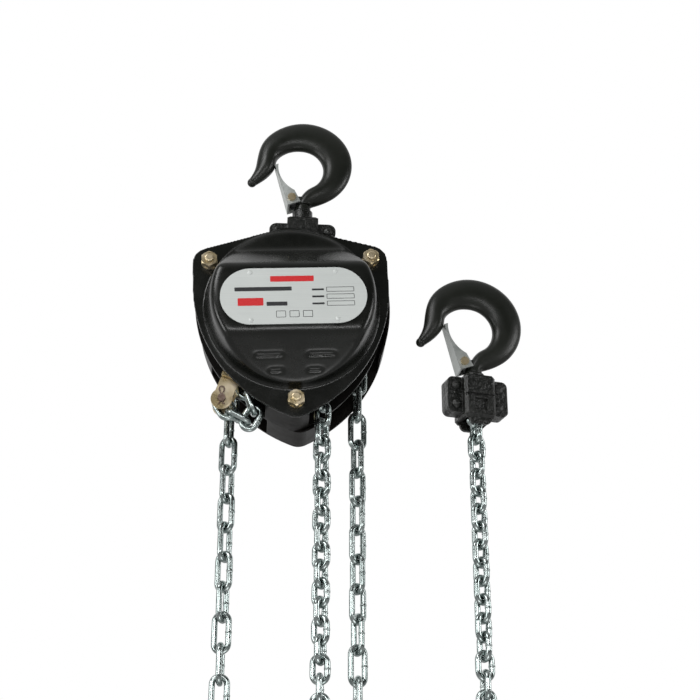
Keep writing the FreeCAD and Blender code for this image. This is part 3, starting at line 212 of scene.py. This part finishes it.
# %% Mix a black enamel
DUST_PATCH_SIZE = 38
DUST_SPECK_SIZE = 520
GLOSS_SIZE = 190
PATCH_DUST = 0.5
SPECK_DUST = 0.35
PATCH_GLOSS = 0.06
FINE_GLOSS = 0.1
MEAN_GLOSS = 0.08
EDGE_SAMPLES = 8


def enamel(name, colour, dust, roughness, grain, grain_depth, peel, peel_depth, specular, edge):
    """Black paint with dust in patches and specks, on a grained skin with a finer peel."""
    finish = Finish(name, specular=specular)
    rounded = finish.node("ShaderNodeBevel", {"samples": EDGE_SAMPLES}, {"Radius": edge})
    patches = finish.between(finish.noise(DUST_PATCH_SIZE, 4), 0.35, 0.7)
    specks = finish.between(finish.noise(DUST_SPECK_SIZE, 2), 0.62, 0.72)
    dusted = finish.blend(patches * PATCH_DUST + specks * SPECK_DUST, colour, dust)
    gloss = patches * PATCH_GLOSS + finish.noise(GLOSS_SIZE, 3) * FINE_GLOSS + (roughness - MEAN_GLOSS)
    skin = finish.relief(finish.noise(grain, 4), grain_depth, under=rounded)
    skin = finish.relief(finish.noise(peel, 2), peel_depth, under=skin)
    return finish.use(dusted, gloss, skin)


# %% Make the black finishes
finishes = {
    "forged_hook": enamel(
        "forged_black", colour=(0.0062, 0.0074, 0.0052), dust=(0.0105, 0.0122, 0.0088), roughness=0.37,
        grain=110, grain_depth=0.0001, peel=900, peel_depth=0.00001, specular=0.36, edge=1.5 * MM),
    "cast_black": enamel(
        "cast_black", colour=(0.003, 0.0036, 0.0027), dust=(0.009, 0.0098, 0.0078), roughness=0.31,
        grain=300, grain_depth=0.001, peel=1000, peel_depth=0.0002, specular=0.5, edge=0.8 * MM),
    "cover_black": enamel(
        "cover_black", colour=(0.0036, 0.0042, 0.0032), dust=(0.006, 0.0068, 0.0052), roughness=0.27,
        grain=40, grain_depth=0.00008, peel=1500, peel_depth=0.00001, specular=0.4, edge=0.6 * MM),
    "wheel_cover_black": enamel(
        "wheel_cover_black", colour=(0.006, 0.005, 0.0042), dust=(0.011, 0.009, 0.0075), roughness=0.4,
        grain=60, grain_depth=0.0003, peel=1300, peel_depth=0.00006, specular=0.1, edge=1.2 * MM),
    "plate_black": enamel(
        "plate_black", colour=(0.0048, 0.0045, 0.004), dust=(0.0095, 0.0088, 0.0075), roughness=0.4,
        grain=90, grain_depth=0.0003, peel=1100, peel_depth=0.00006, specular=0.08, edge=0.6 * MM),
}
print("black finishes:", len(finishes))

# %% [markdown]
# ## Zinc, steel and lining
#
# Zinc on steel is a mirror that has been dulled: it is metallic, a little blue on the chains, and gold with
# paler patches on the chromated nuts. Its crystals and scuffs change how rough it is more than what colour
# it has, so the same noise drives both, and the two colours of each metal are close together. Rolled sheet
# has fine scratches along its length, and brake lining is a grainy moulding with no shine.

# %% Mix metals and lining
METAL_FINE_GLOSS = 0.1
METAL_MEAN_GLOSS = 0.1
SCRATCH_SCALE = (25.0, 900.0, 2600.0)
SCRATCH_SHARE = 0.7
SHEET_PATCH_SIZE = 45
SCRATCH_GLOSS = 0.16
SCRATCH_DEPTH = 0.00001
LINING_GRAIN = 700
LINING_GLOSS = 0.2
LINING_DEPTH = 0.0002


def metal(name, colour, other, roughness, patch, grain, depth, metallic=1.0, spread=0.16):
    """Metal in two shades, whose patches also differ in roughness by spread."""
    finish = Finish(name, metallic)
    patches = finish.between(finish.noise(patch, 3), 0.35, 0.65)
    fine = finish.noise(grain, 3)
    gloss = patches * spread + fine * METAL_FINE_GLOSS + (roughness - METAL_MEAN_GLOSS)
    return finish.use(finish.blend(patches, colour, other), gloss, finish.relief(fine, depth))


def brushed(name, colour, other, roughness, metallic):
    """Rolled sheet, whose fine scratches run along X."""
    finish = Finish(name, metallic)
    streaks = finish.noise(1.0, 4, finish.stretched(SCRATCH_SCALE))
    patches = finish.noise(SHEET_PATCH_SIZE, 2)
    tone = finish.between(streaks * SCRATCH_SHARE + patches * (1 - SCRATCH_SHARE), 0.3, 0.7)
    gloss = streaks * SCRATCH_GLOSS + (roughness - SCRATCH_GLOSS / 2)
    return finish.use(finish.blend(tone, colour, other), gloss, finish.relief(streaks, SCRATCH_DEPTH))


def moulded(name, colour, other, roughness):
    """Lining, whose grain changes its colour, its roughness and its surface together."""
    finish = Finish(name)
    grain = finish.noise(LINING_GRAIN, 4)
    gloss = grain * LINING_GLOSS + (roughness - LINING_GLOSS / 2)
    return finish.use(finish.blend(grain, colour, other), gloss, finish.relief(grain, LINING_DEPTH))


# %% Make the metal finishes
finishes.update({
    "nameplate_metal": brushed(
        "nameplate_metal", (0.48, 0.505, 0.49), (0.54, 0.565, 0.55), roughness=0.5, metallic=0.25),
    "yellow_zinc": metal(
        "yellow_zinc", (0.56, 0.45, 0.25), (0.66, 0.57, 0.42), roughness=0.3,
        patch=70, grain=1400, depth=0.00003, metallic=0.85),
    "latch_zinc": metal(
        "latch_zinc", (0.34, 0.36, 0.345), (0.44, 0.46, 0.445), roughness=0.38,
        patch=90, grain=1500, depth=0.00004, metallic=0.6),
    "chain_zinc": metal(
        "chain_zinc", (0.3, 0.35, 0.34), (0.48, 0.53, 0.52), roughness=0.24,
        patch=150, grain=420, depth=0.00002, spread=0.1),
    "bare_steel": metal(
        "bare_steel", (0.36, 0.36, 0.35), (0.46, 0.46, 0.45), roughness=0.38,
        patch=120, grain=1600, depth=0.00004),
    "cast_wheel": metal(
        "cast_wheel", (0.13, 0.13, 0.125), (0.2, 0.195, 0.185), roughness=0.52,
        patch=200, grain=700, depth=0.0003),
    "lining": moulded("lining", (0.09, 0.062, 0.045), (0.15, 0.11, 0.08), roughness=0.75),
    "rusty_pin": metal(
        "rusty_pin", (0.09, 0.05, 0.035), (0.2, 0.15, 0.12), roughness=0.5,
        patch=700, grain=1600, depth=0.0001, metallic=0.5),
})
print("finishes:", len(finishes), "slots:", len(set(slot_of_node.values())))

# %% Give every built part its finish
for name, node in nodes.items():
    node.data.materials.clear()
    node.data.materials.append(finishes[slot_of_node[name]])
print("dressed", len(nodes), "built parts")

# %% [markdown]
# ## Where the body hangs
#
# The body doesn't hang square: the load chain leaves the wheel on one side, so the whole body tilts by three
# degrees about its suspension pin. Small parts are easier to place on an upright body, so one matrix turns a
# place on the upright body, in millimetres, into a place in the model.

# %% Place things on the tilted body
BODY_TILT = math.radians(3.05)
SUSPENSION_PIN = Vector((0.0, 0.0, -105.0))
PIN_ON_BODY = Vector((11.2, 0.0, 75.7))
body_turn = Matrix.Rotation(-BODY_TILT, 4, "Y")
body_matrix = (Matrix.Scale(MM, 4) @ Matrix.Translation(SUSPENSION_PIN) @ body_turn
               @ Matrix.Translation(-PIN_ON_BODY))
print("suspension pin at", [round(v, 4) for v in body_matrix @ PIN_ON_BODY])

# %% [markdown]
# ## From a shape to a piece
#
# An operator acts on all that is selected, so each shape starts with nothing else selected. A finished piece
# keeps its place in its mesh, gets its finish, and rides on the body that carries it. These steps are the
# same for every piece, so three short functions hold them.

# %% Select, join and finish
def select_only(*pieces):
    """Selects these pieces alone, or nothing, and makes the first one active."""
    bpy.ops.object.select_all(action="DESELECT")
    for piece in pieces:
        piece.select_set(True)
    if pieces:
        bpy.context.view_layer.objects.active = pieces[0]


def join(pieces):
    """Several meshes as one, the first of them."""
    select_only(*pieces)
    bpy.ops.object.join()
    return bpy.context.view_layer.objects.active


def finish_piece(piece, name, body, slot, matrix=None, smooth=30.0):
    """Puts the place of a modelled piece in its mesh and hangs it on its body."""
    piece.name = name
    piece.data.transform((matrix or Matrix()) @ piece.matrix_world)
    piece.matrix_world = Matrix()
    select_only(piece)
    bpy.ops.object.shade_smooth_by_angle(angle=math.radians(smooth))
    piece.data.materials.clear()
    piece.data.materials.append(finishes[slot])
    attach(piece, body)
    return piece


# %% [markdown]
# ## The pressed gear cover
#
# The gear cover is drawn from sheet in a press, so none of its raised forms has a crisp edge: the sheet flows
# round every bend. The built cover has the right form with narrow edges. A copy of it is welded, rebuilt as
# an even net of small faces and then relaxed, which rounds each bend like drawn sheet and leaves the flat
# faces where they are. The flange is left out of the relaxing, because its rim is sheared and stays sharp.
# The bends round the nameplate are relaxed most, and the small dents below them least, because a dent that
# is relaxed for long fades away.

# %% Copy and change a built shape
WELD_GAP = 0.002 * MM


def welded_copy(name, new_name):
    """A copy of a built part whose loose faces are welded together."""
    copy = in_scene(new_name, nodes[name].data.copy())
    select_only(copy)
    bpy.ops.object.mode_set(mode="EDIT")
    bpy.ops.mesh.select_all(action="SELECT")
    bpy.ops.mesh.remove_doubles(threshold=WELD_GAP)
    bpy.ops.object.mode_set(mode="OBJECT")
    return copy


def apply_modifier(piece, name, kind, **settings):
    """Adds a modifier to the active piece and applies it."""
    modifier = piece.modifiers.new(name, kind)
    for setting, value in settings.items():
        setattr(modifier, setting, value)
    bpy.ops.object.modifier_apply(modifier=name)


# %% Relax the raised forms of the gear cover
COVER_NET = 0.95 * MM
COVER_ROUNDS = 18
BEND_ROUNDS = 70
BEND_BELOW_PLATE = 9.0 * MM
FLANGE_SHEET = 2.6 * MM

pressed = welded_copy("gear_cover", "pressed_gear_cover")
apply_modifier(pressed, "net", "REMESH", mode="VOXEL", voxel_size=COVER_NET)
flange_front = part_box("gear_cover")[1][1] - FLANGE_SHEET
bend_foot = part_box("nameplate")[0][2] - BEND_BELOW_PLATE
for group, lowest, rounds in (("raised", -math.inf, COVER_ROUNDS), ("bends", bend_foot, BEND_ROUNDS)):
    relaxed = pressed.vertex_groups.new(name=group)
    relaxed.add([v.index for v in pressed.data.vertices if v.co.y < flange_front and v.co.z > lowest],
                1.0, "REPLACE")
    apply_modifier(pressed, group, "SMOOTH", factor=0.5, iterations=rounds, vertex_group=group)
finish_piece(pressed, "pressed_gear_cover", "frame", "cover_black", smooth=50.0)
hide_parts("gear_cover")
print("pressed cover:", len(pressed.data.polygons), "faces")

# %% [markdown]
# ## The print on the nameplate
#
# The plate carries a silk-screened print. Here it is a plain one, of bars in red and black and of small
# boxes that stay empty. Ink is a film, so each bar is a plane with rounded corners that is drawn up by a
# twentieth of a millimetre, and a box is the same plane with its middle inset and taken out.

# %% Make the ink
INK_GRAIN = 1500
INK_GLOSS = 0.2
INK_ROUGHNESS = 0.4
INK_DEPTH_OF_WEAR = 0.00001
INK_FADE = 1.25
INK_DUST = 0.01


def ink(name, colour):
    """Printing ink that is paler and rougher where it is worn."""
    finish = Finish(name, specular=0.3)
    worn = finish.between(finish.noise(INK_GRAIN, 3), 0.3, 0.8)
    faded = tuple(c * INK_FADE + INK_DUST for c in colour)
    return finish.use(finish.blend(worn, colour, faded), worn * INK_GLOSS + INK_ROUGHNESS,
                      finish.relief(worn, INK_DEPTH_OF_WEAR))


finishes["dark_ink"] = ink("dark_ink", (0.02, 0.02, 0.022))
finishes["red_ink"] = ink("red_ink", (0.45, 0.012, 0.015))
print("finishes with ink:", len(finishes))

# %% Draw one bar or box, in millimetres on the upright body
PLATE_FACE = -52.8
PLATE_MIDDLE = 9.4
INK_DEPTH = 0.05
BAR_CORNER = 0.5
BOX_LINE = 0.45


def ink_bar(x, z, width, height, hollow=False):
    """A bar of ink, or an outlined box, centred at x and z from the middle of the plate."""
    select_only()
    bpy.ops.mesh.primitive_plane_add(size=1, location=(x, PLATE_FACE, PLATE_MIDDLE + z),
                                     rotation=(math.pi / 2, 0, 0))
    bar = bpy.context.object
    bar.scale = (width, height, 1)
    bpy.ops.object.transform_apply(location=False, rotation=False, scale=True)
    bpy.ops.object.mode_set(mode="EDIT")
    bpy.ops.mesh.select_all(action="SELECT")
    bpy.ops.mesh.bevel(offset=BAR_CORNER, segments=3, affect="VERTICES")
    if hollow:
        bpy.ops.mesh.select_all(action="SELECT")
        bpy.ops.mesh.inset(thickness=BOX_LINE)
        bpy.ops.mesh.delete(type="FACE")
    bpy.ops.mesh.select_all(action="SELECT")
    bpy.ops.mesh.extrude_region_move(TRANSFORM_OT_translate={"value": (0, -INK_DEPTH, 0)})
    bpy.ops.object.mode_set(mode="OBJECT")
    return bar


# %% Lay out the print
RED_BARS = ({"x": -1, "z": 15.5, "width": 36, "height": 5.2},
            {"x": -35.6, "z": -5.2, "width": 21, "height": 7})
DARK_BARS = ({"x": -25, "z": 6.4, "width": 47, "height": 3.6},
             {"x": -14, "z": -7.2, "width": 17, "height": 3.6})
ROWS = (5.2, -1.2, -7.6)
ROW_BAR = {"x": 20, "width": 10, "height": 1.7}
ROW_BOX = {"x": 38.5, "width": 23, "height": 4.4, "hollow": True}
COLUMNS = (-11, 0, 11)
COLUMN_BOX = {"z": -16.6, "width": 8, "height": 6, "hollow": True}

red_bars = [ink_bar(**bar) for bar in RED_BARS]
finish_piece(join(red_bars), "nameplate_red_print", "frame", "red_ink", body_matrix)
dark_bars = [ink_bar(**bar) for bar in DARK_BARS]
for row in ROWS:
    dark_bars.append(ink_bar(z=row, **ROW_BAR))
    dark_bars.append(ink_bar(z=row, **ROW_BOX))
for column in COLUMNS:
    dark_bars.append(ink_bar(x=column, **COLUMN_BOX))
finish_piece(join(dark_bars), "nameplate_dark_print", "frame", "dark_ink", body_matrix)
print("print bars:", len(red_bars) + len(dark_bars))

# %% [markdown]
# ## Weld beads on the chains
#
# Every link is bent from round wire and welded shut in the middle of one long side, which leaves a low bead
# round the wire. The built chains are many separate links in one mesh, so each link is found first: its
# longest direction is the way it points, and the next longest is its width. One bead is modelled, from a
# cylinder whose ends are drawn in, and then copied to every link.

# %% Find the links of a chain
def joined_labels(count, triangles):
    """One number for each point, the same for all points that triangles join."""
    label = np.arange(count)
    while True:
        lowest = label[triangles].min(axis=1)
        spread = label.copy()
        for corner in range(3):
            np.minimum.at(spread, triangles[:, corner], lowest)
        spread = spread[spread]
        if (spread == label).all():
            return label
        label = spread


def link_places(chain):
    """For each link in a chain's mesh, its centre, its long direction and its width direction."""
    mesh = nodes[chain].data
    points = np.empty(len(mesh.vertices) * 3)
    mesh.vertices.foreach_get("co", points)
    corners = np.empty(len(mesh.loops), dtype=int)
    mesh.loops.foreach_get("vertex_index", corners)
    points, same = np.unique(points.reshape(-1, 3).round(6), axis=0, return_inverse=True)
    label = joined_labels(len(points), same.ravel()[corners].reshape(-1, 3))
    places = []
    for link in np.unique(label):
        part = points[label == link]
        middle = (part.min(axis=0) + part.max(axis=0)) / 2
        ways = np.linalg.eigh(np.cov((part - part.mean(axis=0)).T))[1]
        places.append((Vector(middle), Vector(ways[:, 2]), Vector(ways[:, 1])))
    return places


links = {chain: link_places(chain) for chain in ("load_chain", "load_chain_tail", "hand_chain")}
print("links:", {chain: len(places) for chain, places in links.items()})

# %% Model one bead
BEAD_HALF = 1.3 * MM
BEAD_PROUD = 0.32 * MM
WIRE_RADIUS = 2.5 * MM
BEAD_SIDES = 14


def bead_pattern():
    """A bead about the origin on a wire along Z: a short cylinder whose two ends are drawn in."""
    select_only()
    bpy.ops.mesh.primitive_cylinder_add(vertices=BEAD_SIDES, radius=WIRE_RADIUS + BEAD_PROUD,
                                        depth=BEAD_HALF, location=(0, 0, 0), end_fill_type="NGON")
    pattern = bpy.context.object
    shrink = (WIRE_RADIUS - BEAD_PROUD) / (WIRE_RADIUS + BEAD_PROUD)
    bpy.ops.object.mode_set(mode="EDIT")
    for up in (1, -1):
        bpy.ops.mesh.select_all(action="DESELECT")
        shape = bmesh.from_edit_mesh(pattern.data)
        for face in shape.faces:
            face.select_set(face.normal.z * up > 0.9)
        bmesh.update_edit_mesh(pattern.data)
        bpy.ops.mesh.extrude_region_move(TRANSFORM_OT_translate={"value": (0, 0, up * BEAD_HALF / 2)})
        bpy.ops.transform.resize(value=(shrink, shrink, 1), center_override=(0, 0, up * BEAD_HALF))
    bpy.ops.object.mode_set(mode="OBJECT")
    return pattern


# %% Weld every link
LINK_HALF_WIDTH = {"load_chain": 5.9 * MM, "load_chain_tail": 5.9 * MM, "hand_chain": 6.0 * MM}
BACK_SHARE = 0.3


def weld_chain(chain, half_width):
    """A weld bead on the same long side of each link of a chain.

    A link's width direction comes out either way round, so it is turned to the right, and to the back
    where it hardly points to either side.
    """
    pattern = bead_pattern()
    beads = []
    for middle, along, side in links[chain]:
        side = side if side.x + side.y * BACK_SHARE > 0 else -side
        bead = in_scene("bead", pattern.data.copy())
        turned = along.to_track_quat("Z", "Y").to_matrix().to_4x4()
        bead.data.transform(Matrix.Translation(middle + side * half_width) @ turned)
        beads.append(bead)
    bpy.data.objects.remove(pattern)
    finish_piece(join(beads), f"{chain}_welds", body_of_node[chain], "chain_zinc", smooth=50.0)
    return len(beads)


print("weld beads:", {chain: weld_chain(chain, half) for chain, half in LINK_HALF_WIDTH.items()})

# %% [markdown]
# ## Springs and split pins
#
# Both are bent from wire, so each is a smooth curve with a round section that is turned into a mesh. The
# latch spring is wound round the latch pin and one leg of it presses on the latch. A split pin is one
# piece of wire folded at an eye, with its two ends bent apart so that it can't fall out.

# %% Bend wire
def wire(points, radius):
    """A mesh of round wire along a smooth line through these points, in metres."""
    curve = bpy.data.curves.new("wire", "CURVE")
    curve.dimensions = "3D"
    curve.bevel_depth = radius
    curve.bevel_resolution = 4
    curve.use_fill_caps = True
    line = curve.splines.new("NURBS")
    line.points.add(len(points) - 1)
    for point, place in zip(line.points, points):
        point.co = (*place, 1.0)
    line.order_u = 4
    line.use_endpoint_u = True
    line.resolution_u = 6
    select_only(in_scene("wire", curve))
    bpy.ops.object.convert(target="MESH")
    return bpy.context.object


def box_corners(node):
    """A built part's lowest and highest corners."""
    low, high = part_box(node)
    return Vector(low), Vector(high)


# %% Wind the latch springs
SPRING_WIRE = 0.35 * MM
SPRING_RADIUS = 2.9 * MM
SPRING_TURNS = 2
STEPS_A_TURN = 12
SPRING_START = 4.9 * MM
SPRING_END = 5.7 * MM
HOOK_LEG_DROPS = (5.0 * MM, 3.0 * MM, 1.5 * MM)
LATCH_LEG = ((0.5, 0.5 * MM), (0.6, 3.0 * MM), (0.6, 6.0 * MM))
LATCH_LEAN = math.radians(20.0)
HOOK_YAW = {"top": 0.0, "load": math.radians(6.0)}


def latch_spring(node, pin, yaw):
    """A coil round the latch pin, with one leg on the hook and one on the latch."""
    steps = SPRING_TURNS * STEPS_A_TURN
    hook_leg = [Vector((SPRING_RADIUS, SPRING_START, -drop)) for drop in HOOK_LEG_DROPS]
    coil = []
    for step in range(steps + 1):
        turn = 2 * math.pi * step / STEPS_A_TURN
        depth = SPRING_START + (SPRING_END - SPRING_START) * step / steps
        coil.append(Vector((SPRING_RADIUS * math.cos(turn), depth, SPRING_RADIUS * math.sin(turn))))
    latch_leg = [Vector((-SPRING_RADIUS * share, SPRING_END, SPRING_RADIUS + rise))
                 for share, rise in ((0.0, 0.0), *LATCH_LEG)]
    place = Matrix.Translation(pin) @ Matrix.Rotation(yaw, 4, "Z") @ Matrix.Rotation(-LATCH_LEAN, 4, "Y")
    spring = finish_piece(wire(hook_leg + coil + latch_leg, SPRING_WIRE), f"{node}_coil",
                          body_of_node[node], slot_of_node[node], place)
    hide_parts(node)
    return len(spring.data.polygons)


for hook, yaw in HOOK_YAW.items():
    low, high = box_corners(f"{hook}_latch_pin")
    print(hook, "latch spring:", latch_spring(f"{hook}_latch_spring", (low + high) / 2, yaw), "faces")

# %% Bend the split pin of the anchor
EYE_RADIUS = 2.0 * MM
SPLIT_WIRE = 0.62 * MM
LEG_GAP = SPLIT_WIRE * 0.95
FOOT_LIFT = 1.2 * MM

low, high = box_corners("anchor_split_pin")
middle = (low + high) / 2
eye = high.z - EYE_RADIUS - SPLIT_WIRE
foot = low.z + FOOT_LIFT
# Each leg runs from the eye down to its bent end, here as steps outwards and heights.
LEG_LINE = (
    (0.0, eye + EYE_RADIUS),
    (EYE_RADIUS, eye + EYE_RADIUS),
    (EYE_RADIUS * 1.2, eye - EYE_RADIUS * 0.6),
    (LEG_GAP, eye - EYE_RADIUS * 1.6),
    (LEG_GAP, (eye + foot) / 2),
    (LEG_GAP, foot + 2.5 * MM),
    (1.3 * MM, foot + 1.0 * MM),
    (2.6 * MM, foot - 0.5 * MM),
)
legs = [wire([Vector((middle.x + side * out, middle.y, height)) for out, height in LEG_LINE], SPLIT_WIRE)
        for side in (1, -1)]
split_pin = finish_piece(join(legs), "anchor_split_pin_bent", "frame", "rusty_pin")
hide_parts("anchor_split_pin")
print("split pin:", len(split_pin.data.polygons), "faces")

# %% [markdown]
# ## The studio
#
# The product stands out against white. A white world seen only by the camera and by reflections gives that
# background without pouring more light on black paint. Black enamel shows hardly any colour of its own, so
# its form is drawn by what it mirrors: a high lamp for the upper edges, a strip in front for the edges that
# bend towards the camera, one lamp on each side for the upright edges and a low one for the undersides. All
# of them are out of the way of the flat front faces, which stay black. The floor is white too: it glows for
# the camera alone, so that it meets the backdrop almost without an edge and still takes a shadow.

# %% Light the world
WALL_BEHIND_CAMERA = 0.04
WALL_BEHIND_HOIST = 1.0
CEILING_GLOW = 0.5
ROOM_LIGHT = 0.42

bpy.context.scene.view_settings.view_transform = "Standard"
world = bpy.data.worlds.new("studio_white")
world.use_nodes = True
bpy.context.scene.world = world
studio = Recipe(world.node_tree)
towards = studio.node("ShaderNodeTexCoord", {}, {}, "Generated")
backwards = studio.node("ShaderNodeSeparateXYZ", {}, {0: towards}, "Y")
upwards = studio.node("ShaderNodeSeparateXYZ", {}, {0: towards}, "Z")
walls = studio.between(backwards, -0.05, 0.5, WALL_BEHIND_CAMERA, WALL_BEHIND_HOIST)
mirrored = walls.or_more(studio.between(upwards, 0.55, 0.95, 0.0, CEILING_GLOW))
camera_ray = studio.ray("Camera")
mirror_ray = studio.ray("Glossy").or_more(studio.ray("Transmission"))
seen_in_mirror = mirrored * mirror_ray + (1 - mirror_ray) * ROOM_LIGHT
background = world.node_tree.nodes["Background"]
background.inputs["Color"].default_value = (1.0, 1.0, 1.0, 1.0)
studio.plug(seen_in_mirror * (1 - camera_ray) + camera_ray, background.inputs["Strength"])
print("world nodes:", len(world.node_tree.nodes))

# %% Hang the lamps
MIDDLE_OF_HOIST = Vector((0.02, 0.0, -0.22))
LAMPS = {
    "key_lamp": {"place": (-0.9, -0.95, 0.8), "width": 0.6, "height": 0.6, "watts": 10},
    "front_strip": {"place": (-0.1, -1.3, -0.16), "width": 1.3, "height": 0.12, "watts": 5.5},
    "left_lamp": {"place": (-1.2, -0.6, -0.25), "width": 0.3, "height": 0.7, "watts": 5.5},
    "right_lamp": {"place": (1.3, -0.45, -0.05), "width": 0.3, "height": 0.6, "watts": 5},
    "low_lamp": {"place": (0.15, -0.45, -1.2), "width": 0.4, "height": 0.4, "watts": 1.5},
}


def lamp(name, place, width, height, watts):
    """A rectangular lamp that faces the middle of the hoist."""
    data = bpy.data.lights.new(name, "AREA")
    data.shape = "RECTANGLE"
    data.size = width
    data.size_y = height
    data.energy = watts
    made = in_scene(name, data)
    made.location = place
    made.rotation_euler = (MIDDLE_OF_HOIST - Vector(place)).to_track_quat("-Z", "Y").to_euler()


for name, settings in LAMPS.items():
    lamp(name, **settings)
print("lamps:", len(LAMPS))

# %% Lay the floor
FLOOR_DROP = 2.6
FLOOR_SIZE = 30.0
FLOOR_GLOW = 0.55
FLOOR_ROUGHNESS = 0.6

bpy.ops.mesh.primitive_plane_add(size=FLOOR_SIZE, location=(0, 0, -FLOOR_DROP))
floor = bpy.context.object
floor.name = "studio_floor"
floor_finish = Finish("floor_white")
floor.data.materials.append(floor_finish.use((0.9, 0.9, 0.9, 1.0), FLOOR_ROUGHNESS))
floor_finish.plug((1.0, 1.0, 1.0, 1.0), floor_finish.shader.inputs["Emission Color"])
floor_finish.plug(floor_finish.ray("Camera") * FLOOR_GLOW, floor_finish.shader.inputs["Emission Strength"])
print("floor at", -FLOOR_DROP, "m")
